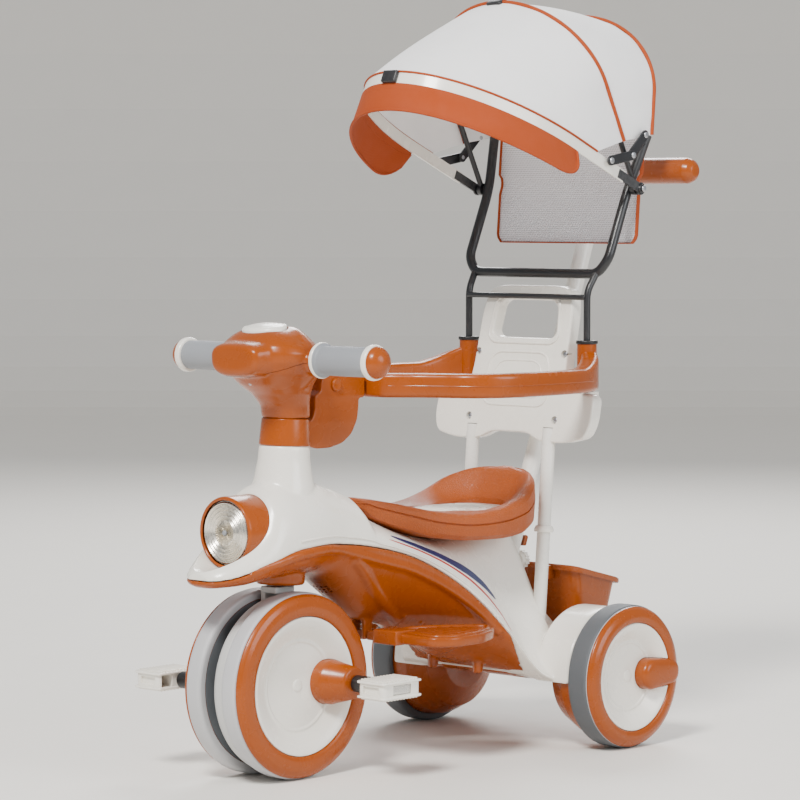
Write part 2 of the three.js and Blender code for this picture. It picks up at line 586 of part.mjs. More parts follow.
function pedal() {
  const { inner, outer, halfLength, halfHeight } = PEDAL;
  const centreZ = FRONT_WHEEL.radius;
  const outline = roundedOutline([[-halfLength, -halfHeight + 2], [0, -halfHeight], [halfLength,
    -halfHeight + 2],
    [halfLength, halfHeight - 2], [0, halfHeight], [-halfLength, halfHeight - 2]], 4);
  const block = new THREE.ExtrudeGeometry(outline, { depth: outer - inner, bevelEnabled: false,
    curveSegments: 2 });
  block.rotateX(Math.PI / 2).rotateZ(Math.PI / 2).translate(inner, CRANK.radius, centreZ);
  const pockets = [-1, 1].map((sign) => box(
    [inner - 1, CRANK.radius + sign * 23 - 11, centreZ - 9], [outer - 12, CRANK.radius + sign * 23 + 11,
    centreZ + 9]));
  const bore = rod(new THREE.Vector3(inner - 1, CRANK.radius, centreZ),
    new THREE.Vector3(outer - 8, CRANK.radius, centreZ), 5.5);
  return cut(block, ...pockets, bore);
}

const wheelHalf = frontWheelHalf();
for (const [name, sign] of SIDES) {
  const place = (geometry) => (sign > 0 ? geometry : geometry.clone().rotateZ(Math.PI));
  for (const [piece, [geometry, colour, roughness]] of Object.entries(wheelHalf)) {
    add(`${piece}_${name}`, place(geometry), colour, roughness);
  }
  add(`pedal_${name}`, place(pedal()), 'ivory', 0.5);
}
const drum = latheX([[DRUM.inner, AXLE.bearing], [DRUM.inner, DRUM.edge], [DRUM.inner + 3, DRUM.crest - 4],
  [6, DRUM.crest], [14, DRUM.crest], [DRUM.outer, DRUM.crest - 3], [DRUM.outer, AXLE.bearing]])
  .translate(0, 0, FRONT_WHEEL.radius);
add('front_drum', drum, 'paleGrey', 0.5);
add('front_axle', rod(frontAxle(-AXLE.frontHalf), frontAxle(AXLE.frontHalf), AXLE.radius), 'steel', 0.35,
  0.9);

// ---------- rear wheels ----------

function rearWheelPieces() {
  const { radius, inner, outer, crest, dishEdge, disc, recess } = REAR_WHEEL;
  const lift = (geometry) => geometry.translate(0, WHEELBASE, radius);
  const tyre = lift(latheX([[inner, 91], [inner, radius - 3], [inner + 3, radius], [outer - 4, radius],
    [outer, radius - 2], [outer, 91]]));
  const web = recess - 6;
  const bore = 6 + GAP;
  const rim = lift(latheX([[110, 12], [108, 46], [120, 74], [148, 88], [inner, 90.6], [outer + GAP, 90.6],
    [outer + GAP, radius - 2], [crest - 3, 95], [crest, 86], [crest - 2, dishEdge + GAP], [web,
    dishEdge + GAP],
    [web, bore], [web - 8, bore], [web - 3, 82], [148, 83], [122, 71], [113, 45], [113, 12]]));
  const lugRing = (x, grow) => {
    const arc = ([offset, size], from) => Array.from({ length: 9 }, (_, i) => {
      const angle = from + (Math.PI * i) / 8;
      const reach = size + grow;
      return new THREE.Vector3(x, WHEELBASE + offset + reach * Math.cos(angle),
        radius + reach * Math.sin(angle));
    });
    return [...arc(REAR_LUG.far, -Math.PI / 2), ...arc(REAR_LUG.near, Math.PI / 2)];
  };
  const lug = (extra, from) => loft([lugRing(from, extra), lugRing(crest + 2, extra), lugRing(crest + 7,
    extra - 5)]);
  const tyreRoom = lift(latheX([[inner - 1, 90.7], [inner - 1, radius + 9], [outer + GAP, radius + 9],
    [outer + GAP, 90.7]]));
  const body = cut(join(rim, lug(0, web - 1)), tyreRoom);
  const dish = lift(latheX([[web + GAP, 0], [web + GAP, dishEdge - 1], [crest - 3, dishEdge - 1],
    [recess + 2, disc + 7],
    [recess, disc], [recess, 0]]));
  return { rear_tyre: [tyre, 'grey', 0.8], rear_wheel: [body, 'orange', 0.4],
    rear_dish: [cut(dish, lug(0.6, web - 4)), 'ivory', 0.4] };
}

const rearPieces = rearWheelPieces();
for (const [name, sign] of SIDES) {
  for (const [piece, [geometry, colour, roughness]] of Object.entries(rearPieces)) {
    add(`${piece}_${name}`, onSide(geometry, sign), colour, roughness);
  }
}
const rearAxleHalf = REAR_WHEEL.recess - 7;
add('rear_axle', rod(axleCentre(-rearAxleHalf), axleCentre(rearAxleHalf), AXLE.radius), 'steel', 0.35, 0.9);

// ---------- guard rail ----------

const plateX = (points, radius, low, high) => new THREE.ExtrudeGeometry(roundedOutline(points, radius),
  { depth: high - low, bevelEnabled: false, curveSegments: 3 }).rotateX(Math.PI / 2).rotateZ(Math.PI / 2)
  .translate(low, 0, 0);

function guardBracket() {
  const { half, front, hidden, back, low, high, buttonY, buttonZ } = BRACKET;
  const inside = STEM.radius + 2 * GAP;
  const collar = latheAlong([[0, inside], [0, COLLAR.radius], [COLLAR.tall, COLLAR.radius], [COLLAR.tall,
    inside]],
    steerAt(COLLAR.low), STEER_TOP);
  const outline = [[38, 446], [66, low], [102, low], [127, low + 10], [back - 3, 472], [back, 494], [back,
    501],
    [155.5, 501], [155.5, 534], [back, high - 3], [back - 7, high], [hidden + 10, high], [hidden, high - 12],
    [hidden, 513], [front, 508], [front, 488], [52, 474], [38, 474]];
  const arm = plateX(outline, 6, -half, half);
  const bore = rod(steerAt(430), steerAt(490), inside);
  const pocket = rod(new THREE.Vector3(half - 10, buttonY, buttonZ), new THREE.Vector3(half + 5, buttonY,
    buttonZ),
    9 + GAP);
  return cut(join(collar, arm), bore, pocket);
}

add('guard_bracket', guardBracket(), 'orange');
add('latch_button', latheAlong([[0, 0], [0, 9], [8, 9], [9.5, 7], [10, 0]],
  new THREE.Vector3(BRACKET.half - 5.5, BRACKET.buttonY, BRACKET.buttonZ),
  new THREE.Vector3(200, BRACKET.buttonY, BRACKET.buttonZ), SMALL_ROUND), 'orange', 0.4);

// Centre line of the left guard arm: across, along, and its half thickness.
const ARM_LINE = [[GAP / 2, 177.5, 12.5], [10, 176.5, 14.5], [34, 182, 14.5], [66, 208, 14.5], [98, 226,
  14.5],
  [126, 240, 14.5], [146, 260, 14.5], [158, 290, 14.5], [162, 330, 14.5], [162, 385, 14.5], [158, 425, 14.5],
  [149, 460, 14], [136, 487, 13], [120, 505, 11], [113, 509, 9]];

function armRing([x, y, half], i) {
  const before = ARM_LINE[Math.max(0, i - 1)];
  const after = ARM_LINE[Math.min(ARM_LINE.length - 1, i + 1)];
  const along = i === 0 ? new THREE.Vector3(1, 0, 0)
    : new THREE.Vector3(after[0] - before[0], after[1] - before[1], 0).normalize();
  const side = new THREE.Vector3(along.y, -along.x, 0);
  const rise = Math.max(0, (y - 440) / 70) ** 1.6 * 26;
  const top = RAIL.high + rise;
  const edge = 5;
  const section = [[half, RAIL.low + edge], [half, top - edge], [half - edge, top], [edge - half, top],
    [-half, top - edge], [-half, RAIL.low + edge], [edge - half, RAIL.low], [half - edge, RAIL.low]];
  return section.map(([across, z]) => new THREE.Vector3(x + side.x * across, y + side.y * across, z));
}

const postAt = (z) => new THREE.Vector3(RAIL.postX, RAIL.postY, z);
const armBlank = join(loft(ARM_LINE.map(armRing)), rod(postAt(RAIL.low), postAt(RAIL.postTop),
  RAIL.postRadius));
const arm = cut(armBlank, rod(postAt(400), postAt(700), FRAME.leg + 2 * GAP));
for (const [name, sign] of SIDES) add(`guard_arm_${name}`, onSide(arm, sign), 'orange', 0.4);

// ---------- backrest and its tubes ----------

function backrest() {
  const half = [[0, 440], [34, 438], [58, 426], [104, 426], [140, 434], [148, 456], [147, 495], [92, 498],
    [87, 530],
    [85, 610], [78, 640], [54, 647], [0, 647]];
  const outline = roundedOutline(mirrored(half.slice(1, -1)), 14);
  const hand = [[-60, 580], [-52, 572], [52, 572], [60, 580], [56, 618], [46, 626], [-46, 626], [-56, 618]];
  outline.holes.push(roundedOutline(hand, 8));
  const board = new THREE.ExtrudeGeometry(outline, { depth: BACKREST.depth, bevelEnabled: false,
    curveSegments: 3 });
  board.rotateX(Math.PI / 2).translate(0, BACKREST.frontY + BACKREST.depth, 0);
  const shear = new THREE.Matrix4().set(1, 0, 0, 0, 0, 1, BACKREST.lean, -BACKREST.lean * BACKREST.atZ,
    0, 0, 1, 0, 0, 0, 0, 1);
  board.applyMatrix4(shear);
  const lugs = SIDES.map(([, sign]) => onSide(box([100, 494, 468], [124, 522, 498]), sign));
  const sockets = SIDES.map(([, sign]) => onSide(rod(postAt(474), postAt(510), FRAME.leg + GAP), sign));
  const feet = SIDES.map(([, sign]) => rod(supportAt(sign, 300), supportAt(sign, SUPPORT.top + 1),
    SUPPORT.radius + GAP));
  const screws = [-81, 81].flatMap((x) => [[466, 458], [487, 551]].map(([y, z]) => rod(
    new THREE.Vector3(x, y, z), new THREE.Vector3(x, y + 14, z - 3), 4.5, 10)));
  return cut(join(board, ...lugs), ...sockets, ...feet, ...screws);
}

add('backrest', backrest(), 'ivory', 0.4);
for (const [name, sign] of SIDES) {
  add(`support_tube_${name}`, rod(supportAt(sign, SUPPORT.foot), supportAt(sign, SUPPORT.top),
    SUPPORT.radius),
    'ivory', 0.4);
}

// ---------- push handle ----------

add('push_tube', rod(pushAt(PUSH.foot), pushAt(PUSH.top), PUSH.radius, 16), 'ivory', 0.35);
const gripCentre = pushAt(PUSH.top);
const gripRod = latheX([[-PUSH.gripHalf, 0], [-PUSH.gripHalf + 1, 9], [-PUSH.gripHalf + 6, 15],
  [-PUSH.gripHalf + 14, PUSH.grip], [PUSH.gripHalf - 14, PUSH.grip], [PUSH.gripHalf - 6, 15],
  [PUSH.gripHalf - 1, 9], [PUSH.gripHalf, 0]]).translate(0, gripCentre.y, gripCentre.z);
const gripCollar = rod(pushAt(PUSH.top - 34), gripCentre, PUSH.radius + 4);
add('push_grip', cut(join(gripRod, gripCollar), rod(pushAt(700), pushAt(PUSH.top + 1), PUSH.radius + GAP,
  16)),
  'orange', 0.5);

const KNOB = { z: 252, radius: 12.5 };
const knobAt = (y) => new THREE.Vector3(0, y, KNOB.z);
const knobFoot = pushAt(KNOB.z).y + PUSH.radius + 6;
add('push_knob', latheAlong([[3, 0], [3, 9], [7, KNOB.radius], [13, KNOB.radius], [17, 0]],
  knobAt(knobFoot), knobAt(900)), 'ivory', 0.4);
add('push_tab', plainTab(), 'orange', 0.4);

function plainTab() {
  const low = pushAt(279);
  const high = pushAt(293);
  const away = PUSH.radius + 3.4;
  const collar = rod(low, high, away + 6);
  const keep = box([-9, low.y + 8, 260], [9, low.y + 60, 300]);
  const hole = rod(pushAt(250), pushAt(320), away, ROUND);
  return toGeometry(toSolid(cut(collar, hole)).intersect(toSolid(keep)));
}

// ---------- basket ----------

function basketRing(inset, halfX, front, back, zFront, zBack) {
  const corners = [[halfX, front], [halfX, back], [-halfX, back], [-halfX, front]];
  const radius = 16;
  const points = roundedOutline(corners, radius).getPoints(3).slice(0, -1);
  return points.map((point) => {
    const share = (point.y - front) / (back - front);
    const x = point.x * (1 - inset / halfX);
    const y = point.y + (0.5 - share) * 2 * inset;
    return new THREE.Vector3(x, y, zFront + (zBack - zFront) * share);
  });
}

function basket() {
  const { low, front, back, wall, lip } = BASKET;
  const outer = loft([basketRing(0, 78, 531, 600, low, low), basketRing(0, 89, 514, 609, front - lip,
    back - lip),
    basketRing(0, 94, 509, 614, front - lip, back - lip), basketRing(0, 94, 509, 614, front, back)]);
  const inner = loft([basketRing(wall, 78, 531, 600, low + wall, low + wall),
    basketRing(wall, 89, 514, 609, front + 1, back + 1)]);
  const hooks = SIDES.map(([, sign]) => onSide(box([34, 501, front - 22], [48, 516, front - 2]), sign));
  return cut(join(outer, ...hooks), inner);
}

add('basket', basket(), 'orange');

// ---------- canopy ----------

const RADIANS = Math.PI / 180;
const onPivot = (x, reach, angle) => new THREE.Vector3(x, PIVOT.y - reach * Math.cos(angle * RADIANS),
  PIVOT.z + reach * Math.sin(angle * RADIANS));

// Points of an arch, [across, reach]: a straight leg, half an ellipse, the other leg.
function archLine(start, reach, crown, halfX, steps) {
  const top = reach - crown;
  const curve = Array.from({ length: steps + 1 }, (_, i) => {
    const turn = (Math.PI * i) / steps;
    return [halfX * Math.cos(turn), top + crown * Math.sin(turn)];
  });
  return [[halfX, start], ...curve, [-halfX, start]];
}

// A bar with the given section bent along an arch that stands at an angle.
function archBar(rib, base, section, steps = 14) {
  const line = archLine(rib.start, rib.reach, rib.crown, rib.halfX, steps);
  const away = new THREE.Vector3(0, -Math.cos(rib.angle * RADIANS), Math.sin(rib.angle * RADIANS));
  const across = new THREE.Vector3(0, Math.sin(rib.angle * RADIANS), Math.cos(rib.angle * RADIANS));
  const rings = line.map(([x, reach], i) => {
    const before = line[Math.max(0, i - 1)];
    const after = line[Math.min(line.length - 1, i + 1)];
    const length = Math.hypot(after[0] - before[0], after[1] - before[1]);
    const outward = new THREE.Vector3((after[1] - before[1]) / length, 0, 0)
      .addScaledVector(away, -(after[0] - before[0]) / length);
    const centre = new THREE.Vector3(x, base.y, base.z).addScaledVector(away, reach);
    const tip = (rib.tilt ?? 0) * RADIANS * Math.max(0, outward.dot(away));
    const width = across.clone().multiplyScalar(Math.cos(tip)).addScaledVector(outward, -Math.sin(tip));
    const face = outward.clone().multiplyScalar(Math.cos(tip)).addScaledVector(across, Math.sin(tip));
    return section.map(([out, side]) => centre.clone().addScaledVector(face, out).addScaledVector(width,
      side));
  });
  return loft(rings);
}

const roundSection = (radius, sides = 6) => Array.from({ length: sides }, (_, i) => {
  const turn = (2 * Math.PI * (i + 0.5)) / sides;
  return [radius * Math.cos(turn), radius * Math.sin(turn)];
});

function canopyFrame() {
  const { tube: radius, leg, brace, x, topX, topY, topZ, crossZ } = FRAME;
  const halfLoop = [[topX, topY, topZ], [x, PIVOT.y, PIVOT.z], [x, 533, 686], [116, 528, crossZ]];
  const loop = [...halfLoop, ...halfLoop.slice().reverse().map(([px, py, pz]) => [-px, py, pz])];
  const frame = tube(loop, radius, 24, 34);
  const legs = SIDES.map(([, sign]) => tube([[sign * RAIL.postX, RAIL.postY, 475],
    [sign * RAIL.postX, RAIL.postY, 640], [sign * (RAIL.postX + 3), 526, crossZ]], leg, 12, 8));
  const bar = rod(new THREE.Vector3(-112, 507, 632), new THREE.Vector3(112, 507, 632), brace, 10);
  const bolts = SIDES.map(([, sign]) => onSide(latheX([[0, 0], [0, PIVOT.bolt], [26.5, PIVOT.bolt],
    [26.5, 7], [29, 6], [29, 0]], SMALL_ROUND).translate(x - 2, PIVOT.y, PIVOT.z), sign));
  const arch = archBar(RIBS.rear, new THREE.Vector3(0, topY, topZ), roundSection(brace));
  return join(frame, ...legs, bar, ...bolts, arch);
}

const eyes = (inner, outer) => SIDES.map(([, sign]) => rod(new THREE.Vector3(sign * inner, PIVOT.y, PIVOT.z),
  new THREE.Vector3(sign * outer, PIVOT.y, PIVOT.z), PIVOT.eye));
const eyeBores = SIDES.map(([, sign]) => rod(new THREE.Vector3(sign * 120, PIVOT.y, PIVOT.z),
  new THREE.Vector3(sign * 170, PIVOT.y, PIVOT.z), PIVOT.bolt + GAP, 12));

add('canopy_frame', canopyFrame(), 'black', 0.5);
add('canopy_mid_rib', cut(join(archBar(RIBS.mid, PIVOT, roundSection(4)), ...eyes(141.6, 149.4)),
  ...eyeBores),
  'black', 0.5);
const bandSection = [[1.4, 8], [1.4, -8], [-1.4, -8], [-1.4, 8]];
add('canopy_front_rib', cut(join(archBar(RIBS.front, PIVOT, bandSection), ...eyes(153.4, 156.2)),
  ...eyeBores),
  'ivory', 0.4);

// One curved panel of cloth between two angles.
function clothPanel({ from, to, halfX, reach, crown, start, thick }) {
  const rows = 2;
  const edge = (end, angle, grow) => archLine(start, reach[end] + grow, crown[end] + grow, halfX + grow, 14)
    .map(([x, distance]) => onPivot(x, distance, angle));
  const surface = (grow) => {
    const first = edge(0, from, grow);
    const last = edge(1, to, grow);
    return Array.from({ length: rows + 1 }, (_, r) => first.map((point, i) => point.clone().lerp(last[i],
      r / rows)));
  };
  return thickSheet(surface(thick), surface(0));
}

add('canopy_rear_panel', clothPanel(CLOTH.rear), 'fabric', 0.9);
add('canopy_front_panel', clothPanel(CLOTH.front), 'fabric', 0.9);

// The stiff peak hangs from the front arch and runs out to a point on each side.
function visor() {
  const { angle, reach, crown, halfX } = RIBS.front;
  const forward = new THREE.Vector3(0, -Math.sin(angle * RADIANS), -Math.cos(angle * RADIANS));
  const down = new THREE.Vector3(0, -0.2, -0.98);
  const surface = (grow) => {
    const line = archLine(150, reach + 4 + grow, crown + 2 + grow, halfX + 2 + grow, 16);
    return [0, 1].map((row) => line.map(([x, distance], i) => {
      const share = Math.min(1, Math.min(i, line.length - 1 - i) / 5);
      const side = Math.abs(x) / halfX;
      const depth = 4 + share * (36 + 18 * side * share);
      return onPivot(x, distance, angle).addScaledVector(forward, 9.5).addScaledVector(down, row * depth);
    }));
  };
  return thickSheet(surface(2), surface(0));
}

add('canopy_visor', visor(), 'fabricOrange', 0.8);

function rearCurtain() {
  const legX = 136;
  const half = [[124, 708], [132, 716], [132, 782], [128, 786], [128, 800], [legX, 806], [legX, 912]];
  const arch = Array.from({ length: 8 }, (_, i) => {
    const turn = (Math.PI / 2) * ((i + 1) / 8);
    return [legX * Math.cos(turn), 912 + 112 * Math.sin(turn)];
  });
  const outline = new THREE.Shape(mirrored([...half, ...arch.slice(0, -1)]).map(([x,
    z]) => new THREE.Vector2(x, z)));
  const sheet = new THREE.ExtrudeGeometry(outline, { depth: 2, bevelEnabled: false });
  const lean = 14 / 168;
  const shear = new THREE.Matrix4().set(1, 0, 0, 0, 0, 1, lean, -lean * 708, 0, 0, 1, 0, 0, 0, 0, 1);
  return sheet.rotateX(Math.PI / 2).translate(0, 597, 0).applyMatrix4(shear);
}

add('rear_curtain', rearCurtain(), 'fabric', 0.9);

// ---------- folding stays ----------

function stayLink(ends, level, rivetFrom) {
  const [from, to] = ends.map(([y, z]) => new THREE.Vector2(y, z));
  const along = new THREE.Vector2().subVectors(to, from).normalize();
  const side = new THREE.Vector2(-along.y, along.x);
  const arc = (centre, facing) => Array.from({ length: 7 }, (_, i) => {
    const turn = (Math.PI * i) / 6 - Math.PI / 2;
    return centre.clone().addScaledVector(along, facing * STAY.half * Math.cos(turn))
      .addScaledVector(side, facing * STAY.half * Math.sin(turn));
  });
  const outline = new THREE.Shape([...arc(to, 1), ...arc(from, -1)]);
  const plate = new THREE.ExtrudeGeometry(outline, { depth: STAY.thick, bevelEnabled: false });
  plate.rotateX(Math.PI / 2).rotateZ(Math.PI / 2).translate(level, 0, 0);
  const rivet = rod(new THREE.Vector3(rivetFrom, to.x, to.y), new THREE.Vector3(level + STAY.thick + 1.4,
    to.x, to.y),
    3, 12);
  return join(plate, rivet);
}

const rearLinkLevel = STAY.x;
const frontLinkLevel = STAY.x + STAY.thick + GAP;
const rearLink = stayLink([STAY.middle, STAY.rear], rearLinkLevel, STAY.x - 8);
const middleHole = rod(new THREE.Vector3(150, ...STAY.middle), new THREE.Vector3(170, ...STAY.middle),
  3 + GAP, 12);
const frontLinkPlate = stayLink([STAY.middle, STAY.front], frontLinkLevel, frontLinkLevel - 1.8);
const frontRivet = rod(new THREE.Vector3(rearLinkLevel + 0.2, ...STAY.middle),
  new THREE.Vector3(frontLinkLevel + STAY.thick + 1.4, ...STAY.middle), 3, 12);
for (const [name, sign] of SIDES) {
  add(`stay_rear_${name}`, onSide(cut(rearLink, middleHole), sign), 'black', 0.45);
  add(`stay_front_${name}`, onSide(join(frontLinkPlate, frontRivet), sign), 'black', 0.45);
}

export default tricycle;
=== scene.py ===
# A children's tricycle with a canopy: the finished looks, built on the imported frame.
# Shapes are written in millimetres, with Y measured back from the front axle, +Z up
# and the left side at +X; place() moves them into the frame's own metres.
# Profiles for lathe() are (along, radius) pairs, curves for smooth() are (position, value) pairs.
import math

import bmesh
import bpy
import numpy as np
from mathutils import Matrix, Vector
from mathutils.bvhtree import BVHTree


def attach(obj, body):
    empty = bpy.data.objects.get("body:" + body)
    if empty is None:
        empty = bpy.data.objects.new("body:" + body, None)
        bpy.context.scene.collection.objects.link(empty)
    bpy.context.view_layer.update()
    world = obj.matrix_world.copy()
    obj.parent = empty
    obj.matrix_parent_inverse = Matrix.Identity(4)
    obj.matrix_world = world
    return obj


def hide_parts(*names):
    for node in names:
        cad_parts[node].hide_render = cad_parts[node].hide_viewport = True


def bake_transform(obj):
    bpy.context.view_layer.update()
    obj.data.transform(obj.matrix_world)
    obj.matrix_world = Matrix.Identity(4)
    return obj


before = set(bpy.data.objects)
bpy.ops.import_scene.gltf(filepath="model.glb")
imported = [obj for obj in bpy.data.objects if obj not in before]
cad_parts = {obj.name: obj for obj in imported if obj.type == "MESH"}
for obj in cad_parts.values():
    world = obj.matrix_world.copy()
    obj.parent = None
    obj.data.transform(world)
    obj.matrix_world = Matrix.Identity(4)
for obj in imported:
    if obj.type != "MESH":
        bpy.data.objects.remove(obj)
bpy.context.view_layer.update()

AXLE_SHIFT = -273.5
TAU = 2 * math.pi
SIDES = (("left", 1), ("right", -1))
ACROSS = (1, 0, 0)
FRONT_AXLE = (0, 0, 125)
REAR_AXLE = (0, 500, 101)
BAR = (0, 5, 559)
LAMP = (0, -97, 333)
PEDAL_ARM = 67
FINE = 128


# ---------- camera, floor and light ----------

AZIMUTH, PITCH = math.radians(42.98), math.radians(3.37)


def add_camera():
    data = bpy.data.cameras.new("camera")
    data.sensor_width = 36
    data.lens = 149.9
    camera = bpy.data.objects.new("camera", data)
    bpy.context.collection.objects.link(camera)
    camera.location = (3.13761, -3.39924, 0.76445)
    forward = Vector((-math.sin(AZIMUTH) * math.cos(PITCH), math.cos(AZIMUTH) * math.cos(PITCH), -math.sin(PITCH)))
    camera.rotation_euler = forward.to_track_quat("-Z", "Y").to_euler()
    bpy.context.scene.camera = camera


def add_light(name, place_at, aim, size, power, colour=(1, 1, 1)):
    data = bpy.data.lights.new(name, "AREA")
    data.shape = "DISK"
    data.size = size
    data.energy = power
    data.color = colour
    light = bpy.data.objects.new(name, data)
    bpy.context.collection.objects.link(light)
    light.location = place_at
    light.rotation_euler = (Vector(aim) - Vector(place_at)).to_track_quat("-Z", "Y").to_euler()


def add_stage():
    add_light("key", (1.3, -3.2, 3.9), (0, 0, 0.5), 1.2, 330, (1, 0.98, 0.95))
    add_light("fill", (3.8, 0.6, 1.9), (0, 0, 0.5), 2.2, 80, (0.95, 0.97, 1))
    add_light("back", (-2.2, 2.9, 2.8), (0, 0, 0.6), 2.2, 130)
    world = bpy.data.worlds.new("studio")
    world.use_nodes = True
    world.node_tree.nodes["Background"].inputs["Color"].default_value = (0.93, 0.96, 1, 1)
    world.node_tree.nodes["Background"].inputs["Strength"].default_value = 0.52
    bpy.context.scene.world = world
    mesh = bpy.data.meshes.new("floor")
    far, rise, bend = 9, 6, 1.6
    profile = [(-far, 0.0)] + [(far - bend + bend * math.sin(t), bend - bend * math.cos(t))
                               for t in np.linspace(0, math.pi / 2, 12)] + [(far, rise)]
    verts = [(x, y, z) for x in (-14, 14) for y, z in profile]
    n = len(profile)
    mesh.from_pydata(verts, [], [(i, i + 1, n + i + 1, n + i) for i in range(n - 1)])
    floor = bpy.data.objects.new("floor", mesh)
    bpy.context.collection.objects.link(floor)
    floor.rotation_euler = (0, 0, AZIMUTH)
    mesh.materials.append(moulded("floor_pale", (238, 234, 227), 0.7, grain=(60, 0.01), wear=0, vary=0.006))


# ---------- materials ----------

def srgb(colour, lift=1.0):
    values = [min(1.0, lift * ((c / 255 + 0.055) / 1.055) ** 2.4) for c in colour]
    return (*values, 1)


class Nodes:
    """A small helper round one material's node tree."""

    def __init__(self, name):
        self.material = bpy.data.materials.new(name)
        self.material.use_nodes = True
        self.tree = self.material.node_tree
        self.shader = self.tree.nodes["Principled BSDF"]
        self.where = self.add("ShaderNodeTexCoord").outputs["Object"]

    def add(self, kind, inputs=None, **settings):
        node = self.tree.nodes.new(kind)
        for key, value in settings.items():
            setattr(node, key, value)
        for key, value in (inputs or {}).items():
            if isinstance(value, bpy.types.NodeSocket):
                self.tree.links.new(value, node.inputs[key])
            else:
                node.inputs[key].default_value = value
        return node

    def noise(self, scale, detail=3.0):
        return self.add("ShaderNodeTexNoise", {"Vector": self.where, "Scale": scale, "Detail": detail}).outputs["Fac"]

    def math(self, operation, a, b=0.0):
        return self.add("ShaderNodeMath", {0: a, 1: b}, operation=operation).outputs[0]

    def spread(self, value, low, high, start=0.3, end=0.7):
        keys = {"Value": value, "From Min": start, "From Max": end, "To Min": low, "To Max": high}
        return self.add("ShaderNodeMapRange", keys).outputs["Result"]

    def mix(self, factor, a, b):
        keys = {"Factor": factor, "A": a, "B": b}
        node = self.tree.nodes.new("ShaderNodeMix")
        node.data_type = "RGBA"
        for key, value in keys.items():
            socket = [s for s in node.inputs if s.name == key and s.enabled][0]
            if isinstance(value, bpy.types.NodeSocket):
                self.tree.links.new(value, socket)
            else:
                socket.default_value = value
        return [s for s in node.outputs if s.enabled][0]

    def bump(self, height, strength, distance):
        keys = {"Height": height, "Strength": strength, "Distance": distance}
        self.link("Normal", self.add("ShaderNodeBump", keys).outputs["Normal"])

    def link(self, name, value):
        self.tree.links.new(value, self.shader.inputs[name])

    def set(self, **values):
        for key, value in values.items():
            self.shader.inputs[key.replace("_", " ")].default_value = value


def moulded(name, colour, rough, grain=(900, 0.08), coat=0.0, wear=0.35, vary=0.07, shine=0.5):
    """Moulded or painted surface: faint mottling, uneven gloss, fine grain and paler worn edges."""
    n = Nodes(name)
    blotch = n.noise(9, 4)
    base = n.mix(n.spread(blotch, 0, 1), srgb(colour, 1 - vary), srgb(colour, 1 + vary))
    if wear:
        edge = n.add("ShaderNodeNewGeometry").outputs["Pointiness"]
        worn = n.math("MULTIPLY", n.spread(edge, 0, wear, 0.53, 0.62), n.spread(n.noise(160), 0.2, 1))
        pale = tuple(min(1.0, c * 0.75 + 0.2) for c in srgb(colour)[:3]) + (1,)
        base = n.mix(worn, base, pale)
    n.link("Base Color", base)
    n.link("Roughness", n.spread(n.noise(38, 5), rough - 0.05, rough + 0.07))
    n.bump(n.noise(grain[0], 2), grain[1], 0.0006)
    n.set(Coat_Weight=coat, Coat_Roughness=0.12, Specular_IOR_Level=shine)
    return n.material


def pebbled(name, colour):
    """Moulded imitation leather of the saddle."""
    n = Nodes(name)
    cells = n.add("ShaderNodeTexVoronoi", {"Vector": n.where, "Scale": 330.0}, feature="DISTANCE_TO_EDGE")
    crease = n.spread(cells.outputs["Distance"], 0, 1, 0.0, 0.28)
    base = n.mix(crease, srgb(colour, 0.8), srgb(colour, 1.03))
    n.link("Base Color", n.mix(n.spread(n.noise(14), 0, 0.25), base, srgb(colour, 0.86)))
    n.link("Roughness", n.spread(n.noise(60), 0.42, 0.56))
    n.bump(crease, 0.55, 0.0007)
    return n.material


def woven(name, colour, sheen=0.35):
    """Plain woven polyester, a thread every 1.6 mm."""
    n = Nodes(name)
    parts = n.add("ShaderNodeSeparateXYZ", {"Vector": n.where}).outputs
    along, across = (n.math("SINE", n.math("MULTIPLY", n.math("ADD", parts[axis], parts["Y"]), TAU / 0.0016))
                     for axis in ("X", "Z"))
    weave = n.math("MULTIPLY", along, across)
    crumple = n.noise(26, 6)
    base = n.mix(n.spread(weave, 0, 1, -1, 1), srgb(colour, 0.93), srgb(colour, 1.03))
    n.link("Base Color", n.mix(n.spread(crumple, 0, 0.18), base, srgb(colour, 0.8)))
    height = n.math("ADD", n.math("MULTIPLY", weave, 0.12), n.math("MULTIPLY", crumple, 1.4))
    n.bump(height, 0.32, 0.0012)
    n.link("Roughness", n.spread(crumple, 0.74, 0.9))
    n.set(Sheen_Weight=sheen, Sheen_Roughness=0.5)
    return n.material


def netting(name, colour, cell=0.0042):
    """Knitted mesh: round holes in even rows, with the thread round them."""
    n = Nodes(name)
    parts = n.add("ShaderNodeSeparateXYZ", {"Vector": n.where}).outputs
    flat = n.add("ShaderNodeCombineXYZ", {"X": n.math("ADD", parts["X"], n.math("MULTIPLY", parts["Z"], 0.5)),
                                          "Y": parts["Z"]}).outputs[0]
    cells = n.add("ShaderNodeTexVoronoi", {"Vector": flat, "Scale": 1 / cell, "Randomness": 0.0})
    thread = n.spread(cells.outputs["Distance"], 0, 1, 0.26, 0.42)
    n.link("Alpha", n.spread(thread, 0.74, 1, 0, 1))
    n.link("Base Color", n.mix(thread, srgb(colour, 0.8), srgb(colour, 1.0)))
    n.link("Roughness", n.spread(n.noise(40), 0.7, 0.85))
    n.bump(thread, 0.5, 0.0006)
    return n.material


def brushed(name, colour, rough=0.3):
    n = Nodes(name)
    n.link("Base Color", n.mix(n.spread(n.noise(70, 6), 0, 1), srgb(colour, 0.85), srgb(colour, 1.1)))
    n.link("Roughness", n.spread(n.noise(240), rough - 0.08, rough + 0.1))
    n.bump(n.noise(1400), 0.05, 0.0003)
    n.set(Metallic=1.0)
    return n.material


